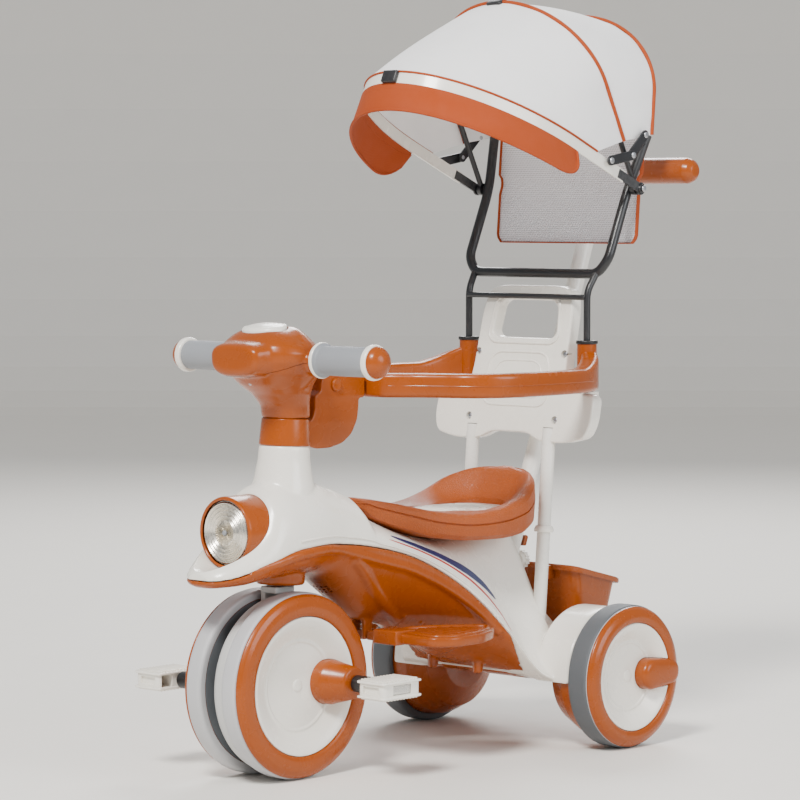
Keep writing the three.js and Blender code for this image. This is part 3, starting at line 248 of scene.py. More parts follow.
def clear(name, tint):
    n = Nodes(name)
    n.link("Base Color", n.mix(n.spread(n.noise(30), 0, 1), srgb(tint, 0.96), srgb(tint, 1.0)))
    n.link("Roughness", n.spread(n.noise(90), 0.04, 0.1))
    n.set(Transmission_Weight=0.3, IOR=1.46)
    return n.material


ORANGE = (148, 67, 0)
IVORY = (240, 236, 226)
LOOK = {
    "orange_plastic": moulded("orange_moulded", ORANGE, 0.26, grain=(1100, 0.08), coat=0.12, wear=0.12, shine=0.34),
    "ivory_plastic": moulded("ivory_moulded", IVORY, 0.24, grain=(1000, 0.05), coat=0.3, wear=0.2, vary=0.02),
    "seat_grain": pebbled("seat_pebbled", (164, 74, 4)),
    "white_steel": moulded("white_powder_coat", (231, 229, 222), 0.27, grain=(1600, 0.12), coat=0.2, vary=0.02),
    "pale_grey_plastic": moulded("pale_grey_moulded", (190, 190, 188), 0.42),
    "pale_grey_tyre": moulded("pale_grey_tread", (184, 184, 186), 0.5, grain=(700, 0.22), wear=0.5),
    "grey_tyre": moulded("grey_tread", (84, 88, 92), 0.62, grain=(700, 0.22), wear=0.5),
    "grey_rubber": moulded("grip_rubber", (138, 141, 146), 0.6, grain=(1500, 0.3), wear=0.15),
    "zinc_steel": brushed("plated_steel", (196, 198, 202)),
    "black_steel": moulded("black_powder_coat", (26, 27, 30), 0.34, grain=(1500, 0.2), coat=0.15, wear=0.25),
    "black_plastic": moulded("black_moulded", (22, 22, 24), 0.4),
    "reflector": brushed("bright_reflector", (225, 228, 232), 0.16),
    "clear_lens": clear("fluted_lens", (232, 229, 222)),
    "ribbed_lens": brushed("ribbed_lens", (232, 226, 214), 0.26),
    "white_fabric": woven("white_weave", (249, 248, 248)),
    "mesh": netting("white_netting", (244, 244, 250), 0.0031),
    "orange_fabric": woven("orange_weave", (160, 62, 0), sheen=0.0),
    "stripe": moulded("decal_navy", (38, 48, 92), 0.35, wear=0.6),
    "stripe_red": moulded("decal_red", (186, 44, 40), 0.35, wear=0.6),
}


# ---------- meshes ----------

def vec(*values):
    return np.array(values, float)


def unit(v):
    v = np.asarray(v, float)
    return v / np.linalg.norm(v)


def place(points):
    out = np.array(points, float).reshape(-1, 3)
    out[:, 1] += AXLE_SHIFT
    return out / 1000


def mirrored(solid):
    verts, faces = solid
    return verts * vec(-1, 1, 1), [tuple(reversed(f)) for f in faces]


def half_turned(solid):
    verts, faces = solid
    return verts * vec(-1, -1, 1), faces


def on_side(solid, sign):
    return solid if sign > 0 else mirrored(solid)


def joined(*solids):
    verts, faces, start = [], [], 0
    for v, f in solids:
        verts.append(np.asarray(v, float))
        faces += [tuple(i + start for i in face) for face in f]
        start += len(v)
    return np.vstack(verts), faces


def build_mesh(name, verts, faces, weld=1e-5):
    mesh = bpy.data.meshes.new(name)
    mesh.from_pydata([tuple(v) for v in verts], [], faces)
    work = bmesh.new()
    work.from_mesh(mesh)
    bmesh.ops.remove_doubles(work, verts=work.verts, dist=weld)
    bmesh.ops.dissolve_degenerate(work, edges=work.edges, dist=weld / 10)
    bmesh.ops.recalc_face_normals(work, faces=work.faces)
    work.to_mesh(mesh)
    work.free()
    return mesh


def piece(name, solid, look, body, node=None, sharp=38):
    """A finished object of the tricycle, riding on a body of the frame and standing for one of its nodes."""
    mesh = build_mesh(name, place(solid[0]), solid[1])
    mesh.materials.append(LOOK[look])
    mesh.polygons.foreach_set("use_smooth", [True] * len(mesh.polygons))
    mesh.set_sharp_from_angle(angle=math.radians(sharp))
    obj = bpy.data.objects.new(name, mesh)
    bpy.context.collection.objects.link(obj)
    if body:
        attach(obj, body)
    if node:
        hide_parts(node)
    return obj


def temporary(solid):
    mesh = build_mesh("work", *solid, weld=0.005)
    obj = bpy.data.objects.new("work", mesh)
    bpy.context.collection.objects.link(obj)
    return obj


def worked(solid, *steps):
    """The solid with modifiers applied, still in millimetres."""
    made = [temporary(solid)]
    for kind, settings in steps:
        modifier = made[0].modifiers.new(kind, kind)
        for key, value in settings.items():
            if key == "object":
                made.append(temporary(value))
                value = made[-1]
            setattr(modifier, key, value)
    baked = bpy.data.meshes.new_from_object(made[0].evaluated_get(bpy.context.evaluated_depsgraph_get()))
    verts = np.empty(len(baked.vertices) * 3)
    baked.vertices.foreach_get("co", verts)
    faces = [tuple(p.vertices) for p in baked.polygons]
    bpy.data.meshes.remove(baked)
    for obj in made:
        mesh = obj.data
        bpy.data.objects.remove(obj)
        bpy.data.meshes.remove(mesh)
    return verts.reshape(-1, 3), faces


def fused(*solids, voxel=2.0, rounds=6):
    """Overlapping solids as one moulded skin with soft inner corners."""
    steps = [("REMESH", {"mode": "VOXEL", "voxel_size": voxel, "adaptivity": 0.0}),
             ("SMOOTH", {"factor": 0.5, "iterations": rounds})]
    return worked(joined(*solids), *steps)


def carved(solid, *tools, operation="DIFFERENCE"):
    for tool in tools:
        solid = worked(solid, ("BOOLEAN", {"operation": operation, "solver": "MANIFOLD", "object": tool}))
    return solid


def merged(*solids):
    return carved(*solids, operation="UNION")


def loft(rings, wrap=False):
    n = len(rings[0])
    verts = np.vstack([np.asarray(r, float) for r in rings])
    count = len(rings)
    faces = []
    for r in range(count if wrap else count - 1):
        s = (r + 1) % count
        faces += [(r * n + i, r * n + (i + 1) % n, s * n + (i + 1) % n, s * n + i) for i in range(n)]
    if not wrap:
        for r in (0, count - 1):
            middle = len(verts)
            verts = np.vstack([verts, verts[r * n:(r + 1) * n].mean(0)])
            faces += [(middle, r * n + i, r * n + (i + 1) % n) for i in range(n)]
    return verts, faces


def rounded(points, radius, steps=4, closed=True):
    """A polyline with its corners turned into short curves."""
    points = [np.asarray(p, float) for p in points]
    out = []
    for i, corner in enumerate(points):
        if not closed and i in (0, len(points) - 1):
            out.append(corner)
            continue
        before, after = points[i - 1] - corner, points[(i + 1) % len(points)] - corner
        reach = min(radius, np.linalg.norm(before) / 2.2, np.linalg.norm(after) / 2.2)
        a, b = corner + unit(before) * reach, corner + unit(after) * reach
        for t in np.linspace(0, 1, steps + 1):
            out.append((1 - t) ** 2 * a + 2 * t * (1 - t) * corner + t * t * b)
    return out


def basis(direction):
    d = unit(direction)
    side = unit(np.cross(d, vec(0, 0, 1) if abs(d[2]) < 0.9 else vec(0, 1, 0)))
    return d, side, np.cross(d, side)


def lathe(profile, origin, direction=ACROSS, segments=FINE, soft=1.2, closed=True):
    """A profile of (along, radius) points turned about a line, its corners softened."""
    points = rounded(profile, soft, 3, closed) if soft else [np.asarray(p, float) for p in profile]
    d, side, up = basis(direction)
    rings = []
    for k in range(segments):
        turn = TAU * k / segments
        out = side * math.cos(turn) + up * math.sin(turn)
        rings.append([np.asarray(origin, float) + d * a + out * max(r, 0) for a, r in points])
    if closed:
        return loft(rings, wrap=True)
    n = len(points)
    verts = np.vstack(rings)
    faces = [(k * n + i, k * n + i + 1, (k + 1) % segments * n + i + 1, (k + 1) % segments * n + i)
             for k in range(segments) for i in range(n - 1)]
    return verts, faces


def rod(a, b, radius, segments=48, soft=0.8):
    length = np.linalg.norm(np.subtract(b, a))
    return lathe([(0, 0), (0, radius), (length, radius), (length, 0)], a, np.subtract(b, a), segments, soft, False)


def sweep(points, section, wrap=False):
    """A section of (side, up) points carried along a path without twisting."""
    points = [np.asarray(p, float) for p in points]
    rings = []
    side = None
    for i, point in enumerate(points):
        ahead = points[(i + 1) % len(points)] if wrap or i + 1 < len(points) else point
        behind = points[i - 1] if wrap or i else point
        along = unit(ahead - behind)
        if side is None:
            side = unit(np.cross(along, vec(0, 0, 1) if abs(along[2]) < 0.9 else vec(*ACROSS)))
        side = unit(side - along * side.dot(along))
        up = np.cross(side, along)
        rings.append([point + side * a + up * b for a, b in section])
    return loft(rings, wrap=wrap)


def circle(radius, sides=20):
    return [(radius * math.cos(TAU * i / sides), radius * math.sin(TAU * i / sides)) for i in range(sides)]


def tube(corners, radius, bend=20, sides=20, steps=8):
    return sweep(rounded(corners, bend, steps, False), circle(radius, sides))


def spline(points, count):
    """A smooth curve through the points, evenly enough spaced."""
    points = np.array(points, float)
    padded = np.vstack([2 * points[0] - points[1], points, 2 * points[-1] - points[-2]])
    out = []
    for t in np.linspace(0, len(points) - 1 - 1e-9, count):
        i, f = int(t), t - int(t)
        a, b, c, d = padded[i:i + 4]
        out.append(0.5 * (2 * b + (c - a) * f + (2 * a - 5 * b + 4 * c - d) * f ** 2
                          + (3 * b - a - 3 * c + d) * f ** 3))
    return out


def box(low, high):
    (x0, y0, z0), (x1, y1, z1) = low, high
    verts = [vec(x, y, z) for x in (x0, x1) for y in (y0, y1) for z in (z0, z1)]
    return np.array(verts), [(0, 1, 3, 2), (4, 6, 7, 5), (0, 4, 5, 1), (2, 3, 7, 6), (0, 2, 6, 4), (1, 5, 7, 3)]


def soft_box(low, high, bevel, segments):
    return worked(box(low, high), ("BEVEL", {"width": bevel, "segments": segments}))


def plate(outline, depth, bevel, holes=()):
    """A flat plate in X and Y, centred on Z = 0, with rounded edges and clean holes."""
    curve = bpy.data.curves.new("outline", "CURVE")
    curve.dimensions = "2D"
    curve.fill_mode = "BOTH"
    curve.extrude = depth / 2 - bevel
    curve.bevel_depth = bevel
    curve.bevel_resolution = 3
    curve.offset = -bevel
    for loop in (outline, *holes):
        line = curve.splines.new("POLY")
        line.points.add(len(loop) - 1)
        for point, (x, y) in zip(line.points, loop):
            point.co = (x, y, 0, 1)
        line.use_cyclic_u = True
    obj = bpy.data.objects.new("outline", curve)
    bpy.context.collection.objects.link(obj)
    baked = bpy.data.meshes.new_from_object(obj.evaluated_get(bpy.context.evaluated_depsgraph_get()))
    verts = np.array([v.co[:] for v in baked.vertices])
    faces = [tuple(p.vertices) for p in baked.polygons]
    bpy.data.objects.remove(obj)
    bpy.data.curves.remove(curve)
    bpy.data.meshes.remove(baked)
    return verts, faces


def moved(solid, function):
    verts, faces = solid
    return np.array([function(v) for v in verts]), faces


def both(half):
    return [*half, *[(-x, y) for x, y in reversed(half)]]


def smooth(*pairs):
    """A curve through (position, value) pairs that never overshoots them."""
    xs, ys = [p[0] for p in pairs], [p[1] for p in pairs]
    slopes = [0.0] * len(xs)
    for i in range(1, len(xs) - 1):
        left, right = (ys[i] - ys[i - 1]) / (xs[i] - xs[i - 1]), (ys[i + 1] - ys[i]) / (xs[i + 1] - xs[i])
        slopes[i] = 0 if left * right <= 0 else 2 * left * right / (left + right)

    def value(x):
        if x <= xs[0]:
            return ys[0]
        if x >= xs[-1]:
            return ys[-1]
        i = next(k for k in range(1, len(xs)) if xs[k] >= x)
        span, rise = xs[i] - xs[i - 1], ys[i] - ys[i - 1]
        t, a, b = (x - xs[i - 1]) / span, slopes[i - 1] * span, slopes[i] * span
        return ys[i - 1] + t * (a + t * (3 * rise - 2 * a - b + t * (a + b - 2 * rise)))

    return value


# ---------- shared lines ----------

STEER = unit((0, 15, 318))


def steer_at(z):
    return vec(0, 15 * (z - 125) / 318, z)


def support_at(sign, z):
    return vec(sign * 72, 457 + (z - 216) * 0.08, z)


def push_at(z):
    return vec(0, 530 + (z - 415) * 0.374, z)


# ---------- body ----------

# The shells' sections along Y: widths and heights at the seam between them, at the crown and at the keel.
# FLANK, SHOULDER and KEEL_WIDTH are shares of the seam's width or of the section's height.
SEAM_WIDTH = smooth((-150, 8), (-144, 20), (-136, 32), (-120, 43), (-90, 56), (-50, 65), (0, 67), (80, 62), (180, 66),
                    (240, 76), (300, 92), (340, 106), (370, 122), (400, 142), (440, 160), (480, 165), (556, 163))
SEAM_HEIGHT = smooth((-150, 273), (-130, 275), (-112, 279), (-92, 286), (-60, 297), (-15, 309), (35, 312), (85, 308),
                     (135, 300), (190, 286), (240, 263), (290, 229), (332, 188), (355, 159), (375, 127), (395, 104),
                     (420, 96), (556, 96))
CROWN = smooth((-150, 280), (-138, 291), (-118, 302), (-98, 314), (-82, 329), (-66, 352), (-56, 372), (-45, 388),
               (-20, 396), (40, 396), (73, 387), (105, 377), (123, 369), (133, 350), (160, 335), (200, 319),
               (240, 308), (290, 300), (400, 301), (438, 311), (453, 300), (464, 250), (480, 222), (500, 190),
               (520, 146), (556, 122))
CROWN_WIDTH = smooth((-150, 3), (-120, 27), (-95, 40), (-70, 40), (0, 40), (80, 30), (130, 24), (200, 36), (300, 50),
                     (440, 46), (460, 40), (500, 60), (556, 92))
FLANK = smooth((-150, 1), (200, 1), (260, .92), (320, .72), (380, .5), (440, .4), (556, .6))
SHOULDER = smooth((-150, .6), (200, .55), (320, .4), (400, .22), (556, .3))
KEEL = smooth((-150, 269), (-135, 263), (-100, 263), (-60, 267), (-20, 271), (30, 272), (55, 264), (82, 243),
              (108, 223), (131, 206), (150, 196), (175, 190), (200, 184), (215, 178), (262, 161), (330, 125),
              (387, 108), (452, 90), (556, 87))
KEEL_WIDTH = smooth((-150, .8), (20, .75), (80, .4), (180, .32), (330, .4), (420, .85), (556, .9))
GROOVE = 1.6


def bezier(points, t):
    a, b, c, d = (np.array(p, float) for p in points)
    return (1 - t) ** 3 * a + 3 * t * (1 - t) ** 2 * b + 3 * t * t * (1 - t) * c + t ** 3 * d


def upper_curve(y):
    width, low, high = SEAM_WIDTH(y), SEAM_HEIGHT(y) + 0.4, CROWN(y)
    tall = high - low
    flat = min(CROWN_WIDTH(y), width * 0.95)
    return (width, low), (width * FLANK(y), low + tall * SHOULDER(y)), (flat, high), (0, high)


def lower_curve(y):
    width = SEAM_WIDTH(y) if y < 350 else min(SEAM_WIDTH(y), 111 - 11 * min(1, (y - 350) / 50))
    high, low = SEAM_HEIGHT(y) - 0.4, KEEL(y)
    tall = max(high - low, 1)
    return (width, high), (width * 0.97, high - tall * 0.45), (width * KEEL_WIDTH(y), low), (0, low)


def shell_ring(y, curve):
    """The whole section at a station, stepping in at the seam to leave a fine groove."""
    half = [bezier(curve, t) for t in np.linspace(0, 1, 19)]
    rise = np.sign(half[-1][1] - half[0][1])
    start = [half[0] + (-GROOVE, 0), half[0] + (-GROOVE, rise * GROOVE), half[0] + (0, rise * GROOVE * 1.1)]
    return [vec(x, y, z) for x, z in both([*start, *half[1:]])]


def shell(curve):
    stations = sorted({*np.linspace(-145, 556, 120), *np.linspace(-68, -50, 8), *np.linspace(444, 470, 8)})
    return loft([shell_ring(y, curve(y)) for y in stations])


def on_skin(curve, sign, y, t, proud):
    """A point on one side of a shell, standing a little proud of it."""
    x, z = bezier(curve(y), t)
    ahead, behind = bezier(curve(y), t + 0.01), bezier(curve(y), t - 0.01)
    out = unit((ahead[1] - behind[1], behind[0] - ahead[0])) * (1 if curve is upper_curve else -1)
    return vec(sign * (x + out[0] * proud), y, z + out[1] * proud)


def flank_band(sign, start, end, low, high):
    """A thin decal that follows the side, pointed at both ends."""
    rows = []
    for y in np.linspace(start, end, 60):
        share = min(1, (y - start) / 50, (end - y) / 70)
        mid, half = (low + high) / 2, (high - low) / 2 * math.sqrt(share) + 1e-3
        across = np.linspace(mid - half, mid + half, 7)
        rows.append([on_skin(upper_curve, sign, y, t, proud) for proud, line in ((0.5, across), (-1, across[::-1]))
                     for t in line])
    return loft(rows)


def upper_shell():
    neck = lathe([(0, 0), (0, 44), (14, 43.5), (30, 39.4), (52, 35.4), (73.6, 34), (73.6, 0)], steer_at(370), STEER,
                 96, 4, False)
    dome = lathe([(100, 0), (100, 86), (109, 95), (164, 95), (166.5, 92), (166.5, 0)], REAR_AXLE, ACROSS, 96, 1.5,
                 False)
    domes = [on_side(dome, sign) for _, sign in SIDES]
    below = box((-240, 300, -60), (240, 700, 96.6))
    solid = fused(carved(joined(*domes), below), shell(upper_curve), neck, voxel=2.1, rounds=5)
    room = lathe([(103, 0), (103, 83), (112, 91.6), (190, 91.6), (190, 0)], REAR_AXLE, ACROSS, 96, 0.5, False)
    rooms = [on_side(room, sign) for _, sign in SIDES]
    lamp = lathe([(0, 0), (0, 47.6), (62, 48.6), (110, 48.6), (110, 0)], (0, -160, 333), (0, 1, 0), 96, 0, False)
    return carved(solid, lamp, *rooms)


def shell_details():
    for name, sign in SIDES:
        lip = [on_skin(upper_curve, sign, y, 0.075, 0.2) for y in np.linspace(-20, 338, 90)]
        piece(f"seam_bead_{name}", sweep(lip, circle(1.5, 10)), "ivory_plastic", "root")
        wide = flank_band(sign, 164, 358, 0.27, 0.40)
        thin = flank_band(sign, 156, 374, 0.2, 0.235)
        piece(f"side_stripe_{name}", wide, "stripe", "root")
        piece(f"side_pinstripe_{name}", thin, "stripe_red", "root")


def lower_shell():
    boss = lathe([(0, 0), (0, 31), (3, 33), (34, 33), (34, 0)], steer_at(257), STEER, 96, 1.5, False)
    folds = []
    for _, sign in SIDES:
        lip = [on_skin(lower_curve, sign, y, 0.13, -3.4 - 5 * max(0, -25 - y) / 70)
               for y in np.linspace(-95, 340, 90)]
        folds.append(sweep(lip, circle(7.5, 16)))
        ridge = [on_skin(lower_curve, sign, 96 + 120 * t, 0.2 + 0.55 * t, -7) for t in np.linspace(0, 1, 40)]
        folds.append(sweep(ridge, circle(11, 16)))
        for y in (214, 246, 278, 310):
            rib = [on_skin(lower_curve, sign, y, t, -2) for t in np.linspace(0.6, 0.995, 24)]
            folds.append(sweep(rib, circle(4.6, 12)))
        for y in (255, 356):
            top = on_skin(lower_curve, sign, y, 0.72, -7)
            folds.append(rod(top, top - vec(0, 0, 23), 7.5, 32, 2))
    bearings = [box((sign * 88 - 8, 486, 84), (sign * 88 + 8, 513, 110)) for _, sign in SIDES]
    ears = [box((sign * 11 - 3, 154, 170), (sign * 11 + 3, 172, 197)) for _, sign in SIDES]
    solid = fused(shell(lower_curve), boss, *bearings, *ears, *folds, voxel=2.1, rounds=4)
    holes = [rod((x * 7, 60, 222 + z * 7), (x * 7, 120, 262 + z * 7), 2.1, 16) for x in (-2, -1, 0, 1, 2)
             for z in (0, 1, 2)]
    return carved(solid, *holes)


def screw(name, at, direction, radius, body):
    """A pan head with a cross recess."""
    head = lathe([(0, 0), (0, radius), (radius * .35, radius * .86), (radius * .5, radius * .4), (radius * .52, 0)],
                 at, direction, 32, 0.4, False)
    d, side, up = basis(direction)
    slots = []
    for a, b in ((side, up), (up, side)):
        corners = [np.asarray(at) + d * (radius * h) + a * (radius * .55 * i) + b * (radius * .1 * j)
                   for h in (.25, .7) for i, j in ((-1, -1), (1, -1), (1, 1), (-1, 1))]
        slots.append((np.array(corners), [(0, 1, 2, 3), (4, 5, 6, 7), (0, 1, 5, 4), (1, 2, 6, 5), (2, 3, 7, 6),
                                          (3, 0, 4, 7)]))
    piece(name, carved(head, *slots), "zinc_steel", body)


# ---------- seat ----------

# The saddle's sections along Y
SEAT_WIDTH = smooth((126, 8), (136, 24), (160, 42), (200, 66), (240, 84), (290, 98), (340, 105), (390, 103),
                    (420, 92), (445, 70), (460, 42), (468, 16))
SEAT_RIM = smooth((126, 366), (160, 362), (200, 353), (240, 344), (290, 339), (340, 343), (390, 355), (430, 376),
                  (468, 389))
SEAT_DISH = smooth((126, 368), (160, 362), (217, 350), (300, 339), (380, 333), (423, 340), (445, 364), (458, 384),
                   (468, 389))
SEAT_FLOOR = smooth((126, 356), (160, 334), (200, 318), (240, 306), (290, 300), (350, 299), (385, 302), (412, 308),
                    (436, 318), (453, 334), (468, 358))
INSERT = [(-30, 212), (30, 212), (50, 300), (56, 380), (36, 430), (-36, 430), (-56, 380), (-50, 300)]


def seat_ring(y):
    width, rim, floor = SEAT_WIDTH(y), SEAT_RIM(y), SEAT_FLOOR(y)
    dish = min(SEAT_DISH(y), rim)
    split = rim - (rim - floor) * 0.42
    top = [(0, dish), (0.25 * width, dish + 0.04 * (rim - dish)), (0.5 * width, dish + 0.22 * (rim - dish)),
           (0.78 * width, rim - 2.5), (0.9 * width, rim - 1.5), (0.985 * width, rim - 7)]
    side = [(width, split + 1.2), (width - 2.2, split + 0.4), (width - 2.2, split - 0.8), (width, split - 1.6)]
    base = [(0.97 * width, floor + 7), (0.9 * width, floor + 1), (0.6 * width, floor), (0, floor)]
    half = [*spline(top, 26), *side, *base]
    return [vec(x, y, z) for x, z in (*half, *[(-x, z) for x, z in reversed(half[1:-1])])]


def extruded(outline, low, high, bevel):
    """A plate with its outline in X and Y between two heights."""
    return moved(plate(outline, high - low, bevel), lambda v: vec(v[0], v[1], v[2] + (low + high) / 2))


def build_seat():
    ends = [126, *np.linspace(130, 464, 90), 468]
    well = extruded(rounded(INSERT, 30, 6), 320, 352, 0.5)
    piece("saddle", carved(loft([seat_ring(y) for y in ends]), well), "seat_grain", "root", "seat",
          sharp=30)
    small = [p * vec(0.98, 1) for p in rounded(INSERT, 30, 6)]
    pad = extruded(small, 325.5, 337, 2.4)
    ridges = [tube([(-34, y, 336.6), (0, y + 5, 337.8), (34, y, 336.6)], 1.6, 20, 10) for y in range(268, 408, 14)]
    piece("saddle_insert", joined(pad, *ridges), "ivory_plastic", "root", "seat_insert")


# ---------- headlight ----------

def build_headlight():
    def lamp(profile, segments=FINE, soft=0.8, closed=True):
        return lathe(profile, LAMP, (0, 1, 0), segments, soft, closed)

    ring = lamp([(1.5, 43), (-0.2, 44.2), (0, 46.6), (3, 48), (55, 48), (55, 0), (52, 0), (52, 43)], closed=False)
    piece("lamp_ring", ring, "orange_plastic", "root", "headlight_housing")
    bowl = [(8, 41), (16, 36), (24, 26), (31, 14), (33, 3), (33, 0)]
    verts, faces = lamp(bowl, 72, 0, False)
    verts[:, 1] += 1.2 * (np.arange(len(verts)) // len(bowl) % 2)
    bowl_skin = piece("lamp_bowl", (verts, faces), "reflector", "root", "headlight_reflector", sharp=20)
    bowl_skin.modifiers.new("solidify", "SOLIDIFY").thickness = 0.001
    piece("lamp_bulb", lamp([(12, 0), (12.5, 4), (15, 6.5), (22, 6), (32, 5), (32, 0)], 48, 1.5, False),
          "ivory_plastic", "root")
    piece("lamp_glass", lamp_glass(), "ribbed_lens", "root", "headlight_lens", sharp=60)
    piece("lamp_boss", lamp([(-1.6, 0), (-1.4, 2.6), (-0.4, 3.6), (2, 3.8), (2, 0)], 32, 0.5, False), "grey_rubber",
          "root")


def lamp_glass():
    """A pressed lens: rings outside, fine spokes round the middle."""
    rings = []
    for r in np.linspace(0.5, 42, 150):
        row = []
        for turn in np.linspace(0, TAU, 180, False):
            if r > 17:
                ripple = 1.2 * math.cos(TAU * (r - 17) / 5.5)
            else:
                ripple = 1.1 * math.cos(turn * 36) * min(1, (r - 0.5) / 8)
            row.append(vec(r * math.cos(turn), -97 + 0.001 * r * r + 0.9 - ripple, 333 + r * math.sin(turn)))
        rings.append(row)
    back = [vec(p[0] * 42.3 / 42, -92.6, 333 + (p[2] - 333) * 42.3 / 42) for p in rings[-1]]
    return loft([*rings, back])


# ---------- steering column, fork and handlebar ----------

# (height, half width, half depth, centre Y) up the head
HEAD = [(479.2, 30, 30, 18), (483, 31, 31, 17.6), (497, 31.5, 32, 16), (512, 36, 39, 9), (526, 47, 49, 0),
        (541, 61, 57, -5), (557, 69, 61, -8), (572, 70, 60, -9), (584, 66, 56, -10), (593, 58, 49, -11),
        (599, 48, 41, -12), (602, 38, 34, -12)]


def squared_oval(half_x, half_y, power, count):
    """Points round an oval whose outline a power below 1 makes squarer."""
    oval = circle(1, count)
    return [(half_x * math.copysign(abs(c) ** power, c), half_y * math.copysign(abs(s) ** power, s)) for c, s in oval]


def head_ring(z):
    columns = list(zip(*HEAD))
    half_x, half_y, centre_y = (float(np.interp(z, columns[0], c)) for c in columns[1:])
    return [vec(x, centre_y + y, z) for x, y in squared_oval(half_x, half_y, 0.86, 96)]


def drooped(v):
    """Lets the top of the head fall away towards its face, its sides and its back."""
    x, y, z = v
    share = min(1, max(0, (z - 560) / 34))
    fall = 0.14 * max(0, -4 - y) + 0.28 * max(0, abs(x) - 26) * min(1, max(0, (y + 60) / 50)) + 0.25 * max(0, y - 4)
    return vec(x, y, z - fall * share)


def head_parts():
    """The lower and upper covers, moulded round the bar and parted under the oval face."""
    body = loft([head_ring(z) for z in np.linspace(479.2, 602, 60)])
    arms = []
    for _, sign in SIDES:
        arms.append(rod((sign * 20, 5, 559), (sign * 76.5, 5, 559), 21.5, 64, 1.6))
        arms.append(rod((sign * 62, 5, 557), (0, 12, 512), 19, 64, 2))
        arms.append(rod((sign * 52, 5, 559), (sign * 14, -14, 563), 24, 64, 3))
    stations = ((-8, 56, 31), (-40, 51, 29.5), (-64, 46, 28), (-74, 44, 27), (-79, 42, 25.4), (-82, 38, 22.6),
                (-83, 30, 17))
    face = [[vec(x, y, 564 + z) for x, z in squared_oval(half_x, half_z, 0.66, 72)] for y, half_x, half_z in stations]
    whole = moved(fused(body, loft(face), *arms, voxel=1.7, rounds=14), drooped)
    parting = [(-130, 537), (-84, 537.5), (-66, 539), (-48, 545), (-30, 552), (-12, 556.4), (60, 557)]
    halves = []
    for lift, level in ((-0.35, 460), (0.35, 640)):
        outline = [*[(y, z + lift) for y, z in parting], (60, level), (-130, level)]
        half = loft([[vec(x, y, z) for y, z in outline] for x in (-130, 130)])
        halves.append(carved(whole, half, operation="INTERSECT"))
    well = moved(loft([cap_ring(590, 1.05), cap_ring(640, 1.05)]), drooped)
    return [halves[0], carved(halves[1], well)]


def dropped(solid, point, direction, proud):
    """The point carried on to a solid along a direction."""
    tree = BVHTree.FromPolygons([Vector(v) for v in solid[0]], solid[1])
    hit, normal, _, _ = tree.ray_cast(Vector(point), Vector(direction))
    facing = np.array(normal) * (-1 if normal.dot(Vector(direction)) > 0 else 1)
    return np.array(hit) + facing * proud


def build_steering():
    piece("steering_post", rod(steer_at(256), steer_at(546), 11, 64), "zinc_steel", "steering", "steering_stem")
    outline = [(-17, 125), (-15, 250.5), (15, 250.5), (17, 125)]
    arc = [(17 * math.cos(t), 125 + 17 * math.sin(t)) for t in np.linspace(0, -math.pi, 16)][1:-1]
    blade = plate([*outline, *[(-x, z) for x, z in arc]], 8, 1)
    stand = moved(blade, lambda v: vec(v[2] - 11.5, v[0], v[1]))
    crown = soft_box((-15.5, -16, 246.5), (14, 20, 255.5), 2, 3)
    piece("fork_blade", joined(stand, crown), "pale_grey_plastic", "steering", "fork")
    lower, upper = head_parts()
    piece("head_lower", lower, "orange_plastic", "steering", "head_cover_lower", sharp=50)
    piece("head_upper", upper, "orange_plastic", "steering", "head_cover_upper", sharp=50)
    piece("horn_cap", moved(cap_dome(), drooped), "ivory_plastic", "horn", "horn_button")
    piece("bar_tube", rod((-178, 5, 559), (178, 5, 559), 9, 48), "zinc_steel", "steering", "handlebar_tube")
    at = dropped(lower, (0, -140, 527), (0, 1, 0), -1.4)
    screw("head_screw", at, (0, -1, -0.6), 3.4, "steering")
    for name, sign in SIDES:
        build_grip(name, sign)


def cap_ring(z, grow):
    return [vec(34 * grow * math.cos(t), -22 + 26 * grow * math.sin(t), z) for t in np.linspace(0, TAU, 96, False)]


def cap_dome():
    levels = [(594, 1), (601.5, 1), (604, 0.985), (605.6, 0.94), (606.6, 0.87), (606.2, 0.8), (606.8, 0.74),
              (608, 0.55), (608.8, 0.3), (609.1, 0.05)]
    return loft([cap_ring(z, grow) for z, grow in levels])


def build_grip(name, sign):
    def turned(profile, soft=1.0, closed=True):
        return on_side(lathe(profile, BAR, ACROSS, 96, soft, closed), sign)

    grip = turned([(77, 9.4), (77, 22), (78.5, 23), (84.5, 23), (86, 20.4), (87.5, 19.5), (128, 19.9), (173, 19.5),
                   (173, 9.4)], 0.8)
    piece(f"grip_rubber_{name}", grip, "grey_rubber", "steering", f"grip_{name}")
    piece(f"grip_collar_{name}", turned([(76.9, 9.6), (76.9, 22.6), (78.6, 24), (82, 24), (83.4, 22.8), (83.4, 9.6)]),
          "ivory_plastic", "steering")
    ring = turned([(170, 19), (170, 22), (171.6, 23.5), (177.4, 23.5), (179, 22.4), (179, 12), (170, 12)])
    piece(f"grip_end_ring_{name}", ring, "ivory_plastic", "steering")
    dome = turned([(178.4, 0), (178.4, 21.4), (182, 21), (187, 18.6), (191.4, 14), (194.4, 8), (195.4, 3),
                   (195.6, 0)], 2, False)
    piece(f"grip_cap_{name}", dome, "orange_plastic", "steering", f"bar_end_{name}")


# ---------- wheels ----------

def pedal_lug(extra, start):
    """The boss on a front wheel that carries the pedal, as (X, distance behind the axle, radius)."""
    rings = [(start, 53, 30), (49, 56, 30), (51, 56, 29.8), (53, 56.4, 29), (77.5, 65.8, 22), (80, 66.6, 20.8),
             (81, 67, 19)]
    return loft([[vec(x, y + c, 125 + s) for c, s in circle(r + extra, 72)] for x, y, r in rings])


